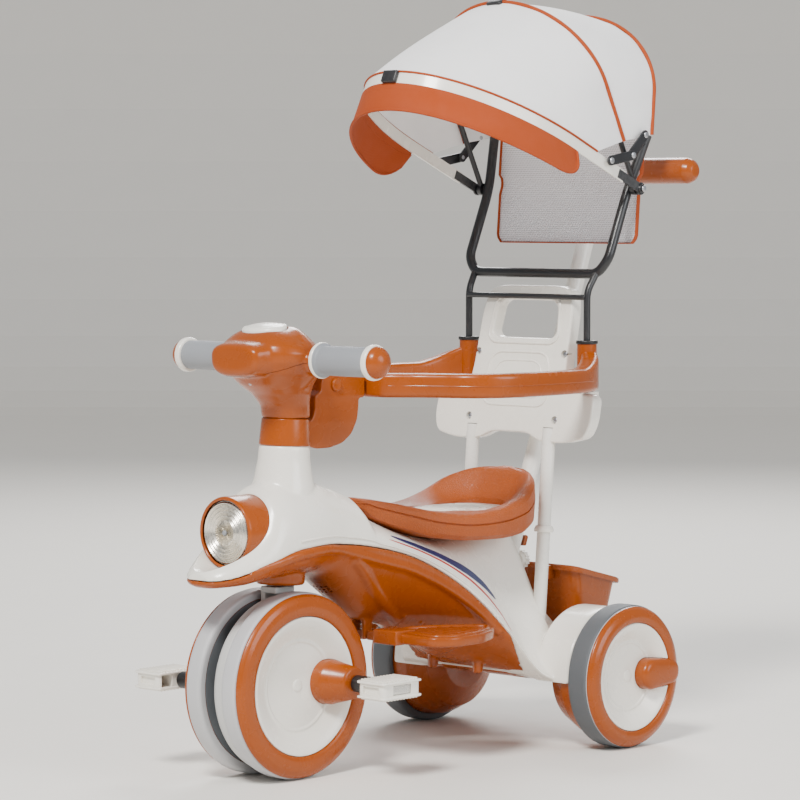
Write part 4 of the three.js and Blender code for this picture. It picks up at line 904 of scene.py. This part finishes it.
def front_half():
    def turned(profile, soft=1.0):
        return lathe(profile, FRONT_AXLE, ACROSS, 192, soft)

    tyre = turned([(20, 112.8), (20, 121), (21.4, 123.6), (25, 124.8), (33, 125), (41.5, 124.8), (44.8, 123.8),
                   (46, 121.4), (46, 112.8)], 1.2)
    rim = turned([(21, 7), (21, 14), (33, 20), (33, 100), (21, 104), (21, 112.6), (46.3, 112.6), (46.3, 122.6),
                  (48.6, 122.8), (52.6, 119.4), (55.2, 113), (56, 106), (55.6, 99), (54.2, 94.4), (52, 93.4),
                  (35.8, 93.4), (35.8, 7)], 1.2)
    hole = rod((30, PEDAL_ARM, 125), (90, PEDAL_ARM, 125), 5.4, 32)
    body = carved(merged(rim, pedal_lug(0, 36)), hole)
    dish = turned([(36.2, 7), (36.2, 92.9), (52.8, 92.9), (53.4, 91.4), (52.8, 88), (50, 81), (46, 73.4), (42.4, 67),
                   (40.2, 62.6), (40.8, 60.4), (40.6, 58.6), (39.2, 56.6), (38.6, 40), (38.4, 7)], 2.2)
    hub = lathe([(36.5, 0), (36.5, 9), (39, 8.6), (39.8, 6.4), (40, 0)], FRONT_AXLE, ACROSS, 64, 0.8, False)
    plate_part = joined(carved(dish, pedal_lug(0.7, 30)), hub)
    spindle = lathe([(40, 0), (40, 5), (82.4, 5), (82.4, 10.5), (84, 11.5), (112, 11.5), (114, 10), (115, 9),
                     (115, 5), (160, 5), (160, 0)], (0, PEDAL_ARM, 125), ACROSS, 48, 0.6, False)
    # A dark grey disc across each wheel half's inner face: painted shade that darkens the gap between the drum and
    # the rim.
    cover = turned([(20.1, 16), (20.1, 112.2), (20.9, 112.2), (20.9, 16)], 0.2)
    return {"gap_shade_disc": (cover, "grey_tyre"), "front_tyre": (tyre, "pale_grey_tyre"),
            "front_wheel": (body, "orange_plastic"), "front_dish": (plate_part, "ivory_plastic"),
            "pedal_spindle": (spindle, "black_plastic")}


def pedal_block():
    def outline(inset):
        y, x = 38 - inset, 26 - inset
        return rounded([(-y, -x), (y, -x), (y, x), (-y, x)], 7, 5)

    core = plate(outline(2.6), 21, 1)

    def flange(z):
        """A face of the pedal, drawn in a little towards its ends."""
        return moved(plate(outline(0), 3, 1.1), lambda v: v + vec(0, 0, z + math.copysign(1.6 * abs(v[0]) / 38, -z)))

    pockets = [box((y - 9.5, -40, -8), (y + 9.5, 13, 8)) for y in (-22, 22)]
    window = box((-17, 20, -6.5), (17, 40, 6.5))
    side = [box((x * 38 - 6, -14, -5), (x * 38 + 6, 14, 5)) for x in (-1, 1)]
    ribs = [soft_box((x - 1.3, -22, z * 12.2 - 1.5), (x + 1.3, 22, z * 12.2 + 1.5), 0.7, 2)
            for x in np.arange(-30, 31, 6) for z in (-1, 1)]
    block = joined(carved(core, *pockets, window, *side), flange(-11.4), flange(11.4), *ribs)
    return moved(block, lambda v: vec(v[1] + 143, v[0] + PEDAL_ARM, v[2] + 125))


def pedal_window():
    prisms = [plate(rounded([(-16, -6), (16, -6), (16, 6), (-16, 6)], 2, 4), 2.4, 0.6)]
    for y in np.arange(-12, 13, 4):
        for z in (-4, 0, 4):
            prisms.append((np.array([(y - 1.8, z - 1.8, 1), (y + 1.8, z - 1.8, 1), (y + 1.8, z + 1.8, 1),
                                     (y - 1.8, z + 1.8, 1), (y, z, 2.2)], float),
                           [(0, 1, 4), (1, 2, 4), (2, 3, 4), (3, 0, 4), (0, 3, 2, 1)]))
    return moved(joined(*prisms), lambda v: vec(v[2] + 164.4, v[0] + PEDAL_ARM, v[1] + 125))


def build_front_wheel():
    half = front_half()
    block, window = pedal_block(), pedal_window()
    for name, turn in (("left", lambda s: s), ("right", half_turned)):
        for kind, (solid, look) in half.items():
            # The painted shade disc in the gap stands for no part of the frame.
            node = None if kind == "gap_shade_disc" else f"{kind}_{name}"
            piece(f"{kind}_{name}_skin", turn(solid), look, "front_wheels", node)
        body = f"pedal_{name[0]}"
        piece(f"pedal_block_{name}", turn(block), "ivory_plastic", body, f"pedal_{name}")
        piece(f"pedal_window_{name}", turn(window), "clear_lens", body)
    drum = lathe([(-4, 7), (-4, 107), (-3, 112), (0, 116.4), (6, 119), (13.5, 119), (17, 117.6), (19.5, 114),
                  (19.5, 7)], FRONT_AXLE, ACROSS, 160, 1.5)
    piece("wheel_drum", drum, "pale_grey_plastic", "front_wheels", "front_drum")
    piece("front_axle_rod", rod((-34, 0, 125), (34, 0, 125), 6, 32), "zinc_steel", "front_wheels", "front_axle")


def rear_lug_ring(x, grow):
    ring = []
    for (offset, size), start in (((78, 19), -math.pi / 2), ((39, 22), math.pi / 2)):
        for t in np.linspace(start, start + math.pi, 28):
            ring.append(vec(x, 500 + offset + (size + grow) * math.cos(t), 101 + (size + grow) * math.sin(t)))
    return ring


def rear_lug(extra, start):
    """The raised bean shape on a rear wheel's face."""
    levels = [(start, 0), (208.6, 0), (211.4, -0.7), (214.2, -2.8), (216, -6), (216.8, -10)]
    return loft([rear_lug_ring(x, grow + extra) for x, grow in levels])


def build_rear_wheels():
    def turned(profile, soft=1.0):
        return lathe(profile, REAR_AXLE, ACROSS, 176, soft)

    tyre = turned([(170, 90.8), (170, 97.6), (171.4, 99.8), (175, 100.8), (186, 101), (198, 100.8), (201.6, 100.2),
                   (203, 98.4), (203, 90.8)], 1.2)
    rim = turned([(110, 12), (108, 46), (120, 74), (148, 87.6), (170, 90.4), (203.3, 90.4), (203.3, 98.8),
                  (206, 98.8), (210.6, 95.2), (213.4, 89), (214, 84), (213, 78), (211, 76.4), (194, 76.4), (194, 6.6),
                  (186, 6.6), (191, 82), (148, 83), (122, 71), (113, 45), (113, 12)], 1.1)
    room = turned([(169, 90.5), (169, 112), (203.3, 112), (203.3, 90.5)], 0)
    body = carved(merged(rim, rear_lug(0, 193)), room)
    dish = turned([(194.2, 7), (194.2, 75.8), (210.8, 75.8), (211.3, 74.4), (210.6, 71.6), (207.6, 65.6),
                   (203.4, 59.4), (199.6, 54), (197.4, 50.2), (198, 48.2), (197.8, 46.6), (196.6, 44.8), (196.2, 30),
                   (196.2, 7)], 2)
    hub = lathe([(194.4, 0), (194.4, 9), (196.8, 8.6), (197.6, 6.4), (197.8, 0)], REAR_AXLE, ACROSS, 64, 1, False)
    plate_part = joined(carved(dish, rear_lug(0.7, 188)), hub)
    for name, sign in SIDES:
        body_name = f"rear_wheel_{name[0]}"
        line = turned([(202.6, 97.4), (202.6, 98.9), (203.9, 98.9), (203.9, 97.4)], 0.3)
        piece(f"rear_rim_line_{name}", on_side(line, sign), "pale_grey_tyre", body_name)
        for kind, solid, look in (("rear_tyre", tyre, "grey_tyre"), ("rear_wheel", body, "orange_plastic"),
                                  ("rear_dish", plate_part, "ivory_plastic")):
            piece(f"{kind}_{name}_skin", on_side(solid, sign), look, body_name, f"{kind}_{name}")
    piece("rear_axle_rod", rod((-193, 500, 101), (193, 500, 101), 6, 32), "zinc_steel", "root", "rear_axle")


# ---------- footrest ----------

# (X, Y) round half of the footrest
FOOT_HALF = [(136, 158), (156, 190), (154, 242), (138, 282), (112, 312), (98, 306), (80, 284), (60, 262), (44, 236),
             (32, 206), (24, 182)]


def build_footrest():
    outline = rounded(both(FOOT_HALF), 14, 5)
    board = extruded(outline, 168.4, 182, 3.2)
    centre = vec(100, 224)
    border = [(136, 162), (153, 192), (150, 242), (134, 280), (112, 306), (100, 300), (84, 280), (64, 258), (50, 234),
              (42, 206), (44, 184), (70, 170)]
    inset = [centre + (vec(*p) - centre) * 0.93 for p in border]
    rims, treads = [], []
    for _, sign in SIDES:
        line = rounded([vec(sign * x, y, 182) for x, y in inset], 12, 4)
        rims.append(sweep(line, [(3.2 * x, 3 * y) for x, y in circle(1, 12)], wrap=True))
        for y, start, end in ((186, 66, 142), (200, 58, 144), (214, 60, 145), (228, 64, 145), (242, 70, 142),
                              (256, 80, 138), (270, 92, 132)):
            left, right = sorted((sign * start, sign * end))
            treads.append(soft_box((left, y - 2.4, 180), (right, y + 2.4, 184.2), 1.2, 2))
    notches = [box((sign * 11 - 4.5, 140, 160), (sign * 11 + 4.5, 176, 190)) for _, sign in SIDES]
    blocks = [soft_box((sign * 58 - 22, 148, 167), (sign * 58 + 22, 188, 186.6), 2.4, 3) for _, sign in SIDES]
    body = joined(carved(board, *notches), *rims, *treads, *blocks, rod((-30, 163, 177), (30, 163, 177), 5, 32))
    piece("foot_board", body, "orange_plastic", "footrest_body", "footrest")


# ---------- guard rail and backrest ----------

# (X, Y, half thickness) along the left guard arm, from the middle of the front to its post
ARM = [(0.15, 177.5, 12.5), (10, 176.5, 14.5), (34, 182, 14.5), (66, 208, 14.5), (98, 226, 14.5), (126, 240, 14.5),
       (146, 260, 14.5), (158, 290, 14.5), (162, 330, 14.5), (162, 385, 14.5), (158, 425, 14.5), (149, 460, 14),
       (136, 487, 13), (120, 505, 11), (113, 509, 9)]


def arm_solid(sign):
    line = spline(ARM, 110)
    rings = []
    for i, (x, y, half) in enumerate(line):
        before, after = line[max(0, i - 1)], line[min(len(line) - 1, i + 1)]
        along = vec(*ACROSS) if i == 0 else unit((after[0] - before[0], after[1] - before[1], 0))
        side = vec(along[1], -along[0], 0)
        top = 534 + max(0, (y - 440) / 70) ** 1.6 * 26
        corners = [vec(half, 501, 0), vec(half, top, 0), vec(-half, top, 0), vec(-half, 501, 0)]
        rings.append([vec(x, y, c[1]) + side * c[0] for c in rounded(corners, 7, 5)])
    return on_side(loft(rings), sign)


def build_guard():
    for name, sign in SIDES:
        post = lathe([(0, 0), (0, 13), (1.5, 14), (66, 14), (68, 12.6), (68, 0)], (112, 510, 501), (0, 0, 1), 64, 1,
                     False)
        hole = on_side(rod((112, 510, 440), (112, 510, 620), 5.7, 40), sign)
        arm = carved(merged(arm_solid(sign), on_side(post, sign)), hole)
        piece(f"guard_rail_{name}", arm, "orange_plastic", f"guard_{name[0]}", f"guard_arm_{name}")
        line = [vec(sign * x, y, 517.5) for x, y, _ in spline([(p[0], p[1], 0) for p in ARM[2:12]], 60)]
        outer = []
        for i, p in enumerate(line):
            a, b = line[max(0, i - 1)], line[min(len(line) - 1, i + 1)]
            along = unit(b - a)
            outer.append(p + vec(along[1], -along[0], 0) * 14.3 * sign)
        piece(f"guard_groove_{name}", sweep(outer, circle(0.9, 8)), "orange_plastic", f"guard_{name[0]}")
        cuff = lathe([(0, 8), (0, 15), (1, 15.6), (4, 15.6), (5, 15), (5, 8)], (sign * 112, 510, 566), (0, 0, 1), 64,
                     0.6)
        piece(f"post_cuff_{name}", cuff, "black_plastic", f"guard_{name[0]}")
    outline = [(38, 444), (60, 436), (88, 436), (112, 441), (130, 453), (141, 471), (144, 490), (144, 501),
               (155.5, 501), (155.5, 534), (144, 536), (137, 539), (80, 539), (70, 527), (70, 513), (58.5, 508),
               (58.5, 488), (52, 474), (38, 474)]
    arm = moved(plate(rounded(outline, 6, 4), 30, 2.4), lambda v: vec(v[2], v[0], v[1]))
    collar = lathe([(0, 11.6), (0, 33.6), (1.2, 34.4), (35, 31.8), (36.2, 31), (36.2, 11.6)], steer_at(442.6), STEER,
                   96, 1.5)
    pocket = rod((5, 98, 521), (25, 98, 521), 9.3, 48)
    bore = rod(steer_at(420), steer_at(500), 11.7, 64)
    piece("rail_bracket", carved(merged(arm, collar), bore, pocket), "orange_plastic", "root", "guard_bracket")
    cap = lathe([(0, 0), (0, 9), (8, 9), (9.4, 7.4), (9, 4), (8.6, 0)], (9.5, 98, 521), ACROSS, 48, 0.8, False)
    piece("latch_cap", cap, "orange_plastic", "latch", "latch_button")


# (X, Z) up one half of the backrest's outline
BACK_HALF = [(34, 438), (58, 426), (104, 426), (140, 434), (148, 456), (147, 495), (92, 498), (87, 530), (85, 610),
             (78, 640), (54, 647)]


def back_face(x, z):
    """The point of the backrest's sloping front face at a height."""
    return vec(x, 475 + 0.23 * (z - 458), z)


def build_backrest():
    outline = rounded(both(BACK_HALF), 14, 6)
    hand = rounded([(-60, 580), (-52, 572), (52, 572), (60, 580), (56, 618), (46, 626), (-46, 626), (-56, 618)], 8, 5)
    board = moved(plate(outline, 22, 3.4, (hand,)), lambda v: back_face(v[0], v[1]) + vec(0, 11 + v[2], 0))
    lugs = [box((sign * 112 - 12, 494, 468), (sign * 112 + 12, 522, 498)) for _, sign in SIDES]
    board = merged(board, *lugs)
    holes = [rod((sign * 112, 510, 470), (sign * 112, 510, 520), 5.4, 32) for _, sign in SIDES]
    feet = [rod(support_at(sign, 400), support_at(sign, 447), 9.8, 32) for _, sign in SIDES]
    wells = [rod((x, y - 8, z), (x, y + 12, z), 5.6, 24) for x in (-81, 81) for y, z in ((474, 458), (495.6, 551))]
    piece("back_board", carved(board, *holes, *feet, *wells), "ivory_plastic", "root", "backrest")
    for i, (x, z) in enumerate(((-81, 458), (81, 458), (-81, 551), (81, 551))):
        screw(f"back_screw_{i + 1}", back_face(x, z) + vec(0, 4, 0), (0, -1, 0.23), 4.4, "root")
    for i, (half_x, low, high) in enumerate(((62, 470, 552), (50, 482, 540))):
        relief = rounded([(-half_x, low + 6), (half_x, low + 6), (half_x - 8, high), (-half_x + 8, high)], 22, 8)
        piece(f"back_relief_{i + 1}", sweep([back_face(*p) for p in relief], circle(1.8 - 0.4 * i, 10), wrap=True),
              "ivory_plastic", "root")
    edge = rounded([(-66, 574), (-55, 565), (55, 565), (66, 574), (61, 623), (49, 633), (-49, 633), (-61, 623)], 10,
                   6)
    piece("hand_hole_rim", sweep([back_face(*p) for p in edge], circle(2.2, 12), wrap=True), "ivory_plastic", "root")
    for name, sign in SIDES:
        post = rod(support_at(sign, 168), support_at(sign, 446), 9.5, 48)
        piece(f"back_post_{name}", post, "white_steel", "root", f"support_tube_{name}")
        base = support_at(sign, 299)
        collar = lathe([(0, 9.5), (0, 14), (4, 14), (9, 11.6), (9, 9.5)], base, support_at(sign, 340) - base, 48, 0.8)
        piece(f"back_post_collar_{name}", collar, "ivory_plastic", "root")


# ---------- push handle and basket ----------

def build_push_handle():
    slope = push_at(500) - push_at(400)
    piece("push_pole", rod(push_at(196), push_at(812), 12.5, 64), "white_steel", "push_handle", "push_tube")
    centre = push_at(812)
    profile = [(-175, 0), (-174, 9), (-169, 15), (-161, 18.6), (-150, 18.9), (150, 18.9), (161, 18.6), (169, 15),
               (174, 9), (175, 0)]
    bar = lathe(profile, centre, ACROSS, 96, 1.5, False)
    socket = lathe([(0, 12.8), (0, 15), (2, 16.5), (40, 17.5), (40, 12.8)], push_at(778), slope, 64, 1)
    piece("push_grip_foam", joined(bar, socket), "orange_plastic", "push_handle", "push_grip")
    collar = lathe([(0, 12.9), (0, 17), (2, 18.5), (54, 18.5), (60, 16.5), (60, 12.9)], push_at(203), slope, 64, 1)
    piece("push_socket", collar, "ivory_plastic", "root")
    foot = push_at(252)[1] + 18.5
    knob = lathe([(3, 0), (3, 9), (7, 11.2), (8, 12.4), (14, 12.4), (16.5, 10), (17, 0)], (0, foot, 252), (0, 1, 0),
                 64, 0.8, False)
    grips = []
    for t in np.linspace(0, TAU, 14, False):
        x, z = 12.2 * math.cos(t), 252 + 12.2 * math.sin(t)
        grips.append(rod((x, foot + 7.5, z), (x, foot + 15, z), 1.3, 10))
    piece("clamp_knob", joined(knob, *grips), "ivory_plastic", "knob", "push_knob")
    low, high = push_at(279), push_at(293)
    tab = lathe([(0, 16), (0, 21), (1.5, 22.3), (13, 22.3), (14.9, 21), (14.9, 16)], low, high - low, 96, 0.8)
    tab = carved(tab, box((-9, low[1] + 8, 260), (9, low[1] + 60, 300)), operation="INTERSECT")
    piece("release_tab_cap", tab, "orange_plastic", "release_tab", "push_tab")


def basket_ring(grow, half_x, front, back, z_front, z_back):
    """A rounded rectangle whose height changes from front to back, grown evenly outwards."""
    corners = [vec(half_x, front, 0), vec(half_x, back, 0), vec(-half_x, back, 0), vec(-half_x, front, 0)]
    ring = []
    for p in rounded(corners, 18, 7):
        share = (p[1] - front) / (back - front)
        ring.append(vec(p[0] * (1 + grow / half_x), p[1] + (share - 0.5) * 2 * grow,
                        z_front + (z_back - z_front) * share))
    return ring


def build_basket():
    def wall(share, grow):
        values = [a + (b - a) * share for a, b in ((78, 89), (531, 514), (600, 609), (152, 243), (152, 217))]
        return basket_ring(grow, *values)

    rim = [basket_ring(grow, 94, 509, 614, z, z - 26) for grow, z in ((0, 240), (0.8, 242), (0.8, 246), (-1, 248))]
    outside = [basket_ring(-6, 78, 531, 600, 152, 152), *[wall(s, 0) for s in np.linspace(0, 1, 9)], *rim]
    inside = [basket_ring(-2, 91, 511, 612, 248, 222), *[wall(s, -3) for s in np.linspace(1, 0.05, 9)],
              basket_ring(-12, 78, 531, 600, 156, 156)]
    tub = loft([*outside, *inside])
    hooks = [soft_box((sign * 41 - 7, 501, 226), (sign * 41 + 7, 516, 246), 1.5, 2) for _, sign in SIDES]
    piece("storage_basket", joined(tub, *hooks), "orange_plastic", "basket_body", "basket")


# ---------- canopy ----------

# A rib is (angle above level, reach from its base, height of its elliptical crown, half width)
PIVOT = vec(0, 576, 786)
FRONT, MID = (23.3, 382, 230, 154.8), (63.1, 289, 125, 145.5)
REAR_BASE, REAR = vec(0, 603, 862), (94.8, 168, 110, 145)


def arch_point(base, rib, t, grow=0.0):
    """A point on an arch: t from 0 to 1 climbs a straight leg, crosses an ellipse and comes down again."""
    angle, reach, crown, half_x = rib
    top = reach - crown
    away = vec(0, -math.cos(math.radians(angle)), math.sin(math.radians(angle)))
    leg = top / (2 * top + math.pi * math.sqrt((crown ** 2 + half_x ** 2) / 2))
    if t < leg:
        x, out = half_x + grow, top * t / leg
    elif t > 1 - leg:
        x, out = -half_x - grow, top * (1 - t) / leg
    else:
        turn = math.pi * (t - leg) / (1 - 2 * leg)
        x, out = (half_x + grow) * math.cos(turn), top + (crown + grow) * math.sin(turn)
    return base + vec(x, 0, 0) + away * out


def arch_line(base, rib, low, high, grow=0.0, count=121):
    return [arch_point(base, rib, t, grow) for t in np.linspace(low, high, count)]


def cloth(rows, thickness=0.9):
    """A thin closed sheet through rows of points."""
    grid = np.array(rows)
    along = np.gradient(grid, axis=1)
    across = np.gradient(grid, axis=0)
    normal = np.cross(along, across)
    normal /= np.maximum(np.linalg.norm(normal, axis=2, keepdims=True), 1e-9)
    r, c = grid.shape[:2]
    verts = np.vstack([(grid + normal * thickness / 2).reshape(-1, 3),
                       (grid - normal * thickness / 2).reshape(-1, 3)])
    faces, n = [], r * c
    for i in range(r - 1):
        for j in range(c - 1):
            a = i * c + j
            faces += [(a, a + 1, a + c + 1, a + c), (n + a, n + a + c, n + a + c + 1, n + a + 1)]
    border = [*range(c), *range(2 * c - 1, n, c), *range(n - 2, n - c - 1, -1), *range(n - 2 * c, 0, -c)]
    for a, b in zip(border, border[1:] + border[:1]):
        faces.append((a, n + a, n + b, b))
    return verts, faces


def hung(first, last, rows, sag, folds):
    """Cloth pulled between two lines: it dips between them and puckers a little at both hems."""
    first, last = np.array(first), np.array(last)
    middle = (first.mean(0) + last.mean(0)) / 2 - vec(0, -30, 110)
    out = []
    for s in np.linspace(0, 1, rows):
        line = first * (1 - s) + last * s
        inward = middle - line
        inward /= np.linalg.norm(inward, axis=1, keepdims=True)
        around = np.linspace(0, 1, len(line))
        dip = sag * 4 * s * (1 - s) * (0.35 + 0.65 * np.sin(math.pi * around) ** 0.7)
        pucker = folds * (np.sin(around * 61 + 1.3 * np.sin(around * 17)) * (abs(2 * s - 1) ** 2) * 0.5
                          + np.sin(around * 23 + 4 * s) * np.sin(math.pi * s))
        out.append(line + inward * (dip + pucker)[:, None])
    return out


def band(points, across, width, thick):
    """A flat strap along a line, lying on the given crosswise direction."""
    points = [np.asarray(p, float) for p in points]
    rings = []
    for i, p in enumerate(points):
        along = unit(points[min(i + 1, len(points) - 1)] - points[max(i - 1, 0)])
        out = unit(np.cross(along, across))
        rings.append([p + across * a + out * b for a, b in
                      ((-width / 2, -thick / 2), (width / 2, -thick / 2), (width / 2, thick / 2),
                       (-width / 2, thick / 2))])
    return loft(rings)


def split_line(angle, half):
    """Two points either side of the line through the pivot at an angle, rear one first."""
    a = math.radians(angle)
    out = vec(0, -math.sin(a), -math.cos(a))
    on_line = PIVOT + vec(0, -math.cos(a), math.sin(a)) * 200
    start, end = place([on_line - out * half, on_line + out * half])
    return tuple(start), tuple(end)


def build_canopy():
    half_loop = [(145, 603, 862), (132, 576, 786), (132, 533, 686), (116, 528, 665)]
    loop = tube([*half_loop, *[(-x, y, z) for x, y, z in reversed(half_loop)]], 7, 24, 28, 8)
    legs = [tube([(sign * 112, 510, 475), (sign * 112, 510, 640), (sign * 115, 526, 665)], 5, 12, 24)
            for _, sign in SIDES]
    bar = rod((-112, 507, 632), (112, 507, 632), 4, 24)
    rear = sweep(arch_line(REAR_BASE, REAR, 0, 1, 0, 90), circle(4, 16))
    bolt = lathe([(0, 0), (0, 4), (26.5, 4), (26.5, 7), (29, 6), (29.6, 3), (29.6, 0)], (130, 576, 786), ACROSS, 32,
                 0.6, False)
    bolts = [on_side(bolt, sign) for _, sign in SIDES]
    piece("canopy_uprights", joined(loop, *legs, bar, rear, *bolts), "black_steel", "root", "canopy_frame")
    eyes = [rod((sign * 141.6, 576, 786), (sign * 149.4, 576, 786), 9, 40) for _, sign in SIDES]
    mid_line = arch_line(PIVOT, MID, 0, 1)
    piece("mid_bow", joined(sweep(mid_line, circle(4, 16)), *eyes), "black_steel", "canopy_mid", "canopy_mid_rib")
    across = vec(0, math.sin(math.radians(FRONT[0])), math.cos(math.radians(FRONT[0])))
    front_line = arch_line(PIVOT, FRONT, 0.045, 0.955)
    piece("front_bow", band(front_line, across, 16.5, 2.8), "ivory_plastic", "canopy_front", "canopy_front_rib")
    build_cloths()
    build_visor()
    build_curtain()
    build_stays()


def build_cloths():
    low, high = 0.1, 0.9
    rear_first = arch_line(PIVOT, MID, low, high, 5)
    rear_last = arch_line(REAR_BASE, REAR, 0, 1, 5)
    rows = hung(rear_first, rear_last, 29, -5, 0.6)
    rear = piece("canopy_cloth_rear", cloth(rows), "white_fabric", None, "canopy_rear_panel", sharp=60)
    piece("piping_mid", sweep(arch_line(PIVOT, MID, low, high, 7), circle(2.8, 12)), "orange_fabric", "canopy_mid")
    piece("piping_rear", sweep([p + vec(0, 3, 1) for p in arch_line(REAR_BASE, REAR, 0.0, 1.0, 6)], circle(2.8, 12)),
          "orange_fabric", "root")
    start, end = split_line(81.5, 40)
    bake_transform(rear)
    first = arch_line(PIVOT, MID, low, high, 5.4)
    back_off = vec(0, math.sin(math.radians(FRONT[0])), math.cos(math.radians(FRONT[0])))
    last = [p + back_off * 9 for p in arch_line(PIVOT, FRONT, 0.12, 0.88, 1)]
    rows = hung(first, last, 41, -4, 0.7)
    front = piece("canopy_cloth_front", cloth(rows), "white_fabric", None, "canopy_front_panel", sharp=60)
    start, end = split_line(43, 50)
    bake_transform(front)
    hem = sweep([p + back_off * 9 for p in arch_line(PIVOT, FRONT, 0.12, 0.88, 1.6)], circle(1.7, 12))
    for name, sign in SIDES:
        run = [p * vec(sign, 1, 1) for p in arch_line(PIVOT, FRONT, 0.0, 0.06, 0, 12)]
        eye = rod((sign * 152.9, 576, 786), (sign * 156.7, 576, 786), 9, 40)
        piece(f"bow_sleeve_{name}", joined(band(run, back_off, 13, 3.4), eye), "black_steel", "canopy_front")
    piece("piping_front", hem, "orange_fabric", "canopy_front")
    for i, (rib, body, lift) in enumerate(((MID, "canopy_mid", 7), (FRONT, "canopy_front", 4.6))):
        at = arch_point(PIVOT, rib, 0.5, lift)
        angle = math.radians(rib[0])
        away = vec(0, -math.cos(angle), math.sin(angle))
        clip = soft_box((-13, -9, -3.4), (13, 9, 3.4), 2.2, 3)
        turned = moved(clip, lambda v, at=at, away=away: at + vec(v[0], 0, 0) + vec(0, away[2], -away[1]) * v[1]
                       + away * v[2])
        piece(f"canopy_clip_{i + 1}", turned, "black_plastic", body)


def build_visor():
    angle = math.radians(FRONT[0])
    forward = vec(0, -math.sin(angle), -math.cos(angle))
    line = arch_line(PIVOT, FRONT, 0.165, 0.835, 1.5, 121)
    rows = []
    for s in np.linspace(0, 1, 15):
        row = []
        for i, p in enumerate(line):
            inset = 1 - min(1, min(i, 120 - i) / 9)
            share = math.sqrt(max(0, 1 - inset * inset))
            side = abs(p[0]) / 154.8
            depth = 2 + share * (35 + 11 * side ** 2)
            down = vec(0.5 * side * np.sign(p[0]), -0.2, -0.98)
            row.append(p + forward * 8.4 + down * depth * s + forward * 4 * math.sin(math.pi * s))
        rows.append(row)
    visor = piece("canopy_peak", cloth(rows, 1.6), "orange_fabric", "canopy_front", "canopy_visor", sharp=60)
    hem = piece("peak_hem", sweep(rows[-1], circle(2.2, 10)), "orange_fabric", "canopy_front")
    stitch = piece("peak_stitch", sweep([p + forward * 1.2 for p in rows[2]], circle(0.8, 6)), "orange_fabric",
                   "canopy_front")


def build_curtain():
    def width_at(z):
        if z < 912:
            return float(np.interp(z, [708, 716, 782, 786, 800, 806, 912], [124, 131, 131, 128, 128, 134, 134]))
        return 134 * math.sqrt(max(0, 1 - ((z - 912) / 111.5) ** 2))

    rows = []
    for z in [*np.linspace(708, 912, 36), *(912 + 111 * np.sin(np.linspace(0, math.pi / 2, 26)))[1:]]:
        half = max(width_at(z), 3)
        rows.append([vec(x * half, 596 + (z - 708) * 14 / 168 + 1.4 * math.sin(7 * x + z / 31) * (1 - abs(x)), z)
                     for x in np.linspace(-1, 1, 61)])
    net = piece("rear_netting", cloth(rows, 0.6), "mesh", "root", "rear_curtain", sharp=60)
    border = [*rows[0], *[r[-1] for r in rows[1:]], *list(reversed(rows[-1]))[1:-1],
              *[r[0] for r in reversed(rows[1:])]]
    edge = piece("netting_binding", sweep(border, [(4.5 * a, 1.1 * b) for a, b in circle(1, 10)], wrap=True),
                 "orange_fabric", "root")


def build_stays():
    def link(a, b, level):
        """A flat bar with round ends between two (Y, Z) points."""
        (ya, za), (yb, zb) = a, b
        along = unit((yb - ya, zb - za))
        side = vec(-along[1], along[0])
        outline = []
        for centre, facing in (((yb, zb), 1), ((ya, za), -1)):
            for t in np.linspace(-math.pi / 2, math.pi / 2, 14):
                outline.append(vec(*centre) + 7 * facing * (along * math.cos(t) + side * math.sin(t)))
        return moved(plate(outline, 3.2, 0.8), lambda v: vec(v[2] + level + 1.6, v[0], v[1]))

    def rivet(at, low, high):
        deep = high - low
        return lathe([(0, 0), (0, 3), (deep - 2, 3), (deep - 1.9, 4.6), (deep - 0.8, 4.2), (deep, 0)], (low, *at),
                     ACROSS, 32, 0.3, False)

    rear, middle, front = (580, 862), (548, 833), (500, 825)
    for name, sign in SIDES:
        back = link(middle, rear, 158.2)
        fore = link(middle, front, 161.6)
        piece(f"stay_back_{name}", on_side(back, sign), "black_steel", f"stay_rear_{name[0]}", f"stay_rear_{name}")
        piece(f"stay_fore_{name}", on_side(fore, sign), "black_steel", f"stay_front_{name[0]}", f"stay_front_{name}")
        for spot, at, low, high, body in (("rear", rear, 150.4, 163.6, "stay_rear"),
                                          ("mid", middle, 158, 167, "stay_front"),
                                          ("fore", front, 156.4, 167, "stay_front")):
            piece(f"stay_rivet_{spot}_{name}", on_side(rivet(at, low, high), sign), "zinc_steel", f"{body}_{name[0]}")
        piece(f"pivot_rivet_{name}", on_side(rivet((576, 786), 158, 163.4), sign), "zinc_steel", "root")


# ---------- the whole tricycle ----------

def build_tricycle():
    piece("body_upper", upper_shell(), "ivory_plastic", "root", "upper_shell")
    shell_details()
    piece("body_lower", lower_shell(), "orange_plastic", "root", "lower_shell")
    build_seat()
    build_headlight()
    build_steering()
    build_front_wheel()
    build_rear_wheels()
    build_footrest()
    build_guard()
    build_backrest()
    build_push_handle()
    build_basket()
    build_canopy()


add_camera()
add_stage()
build_tricycle()
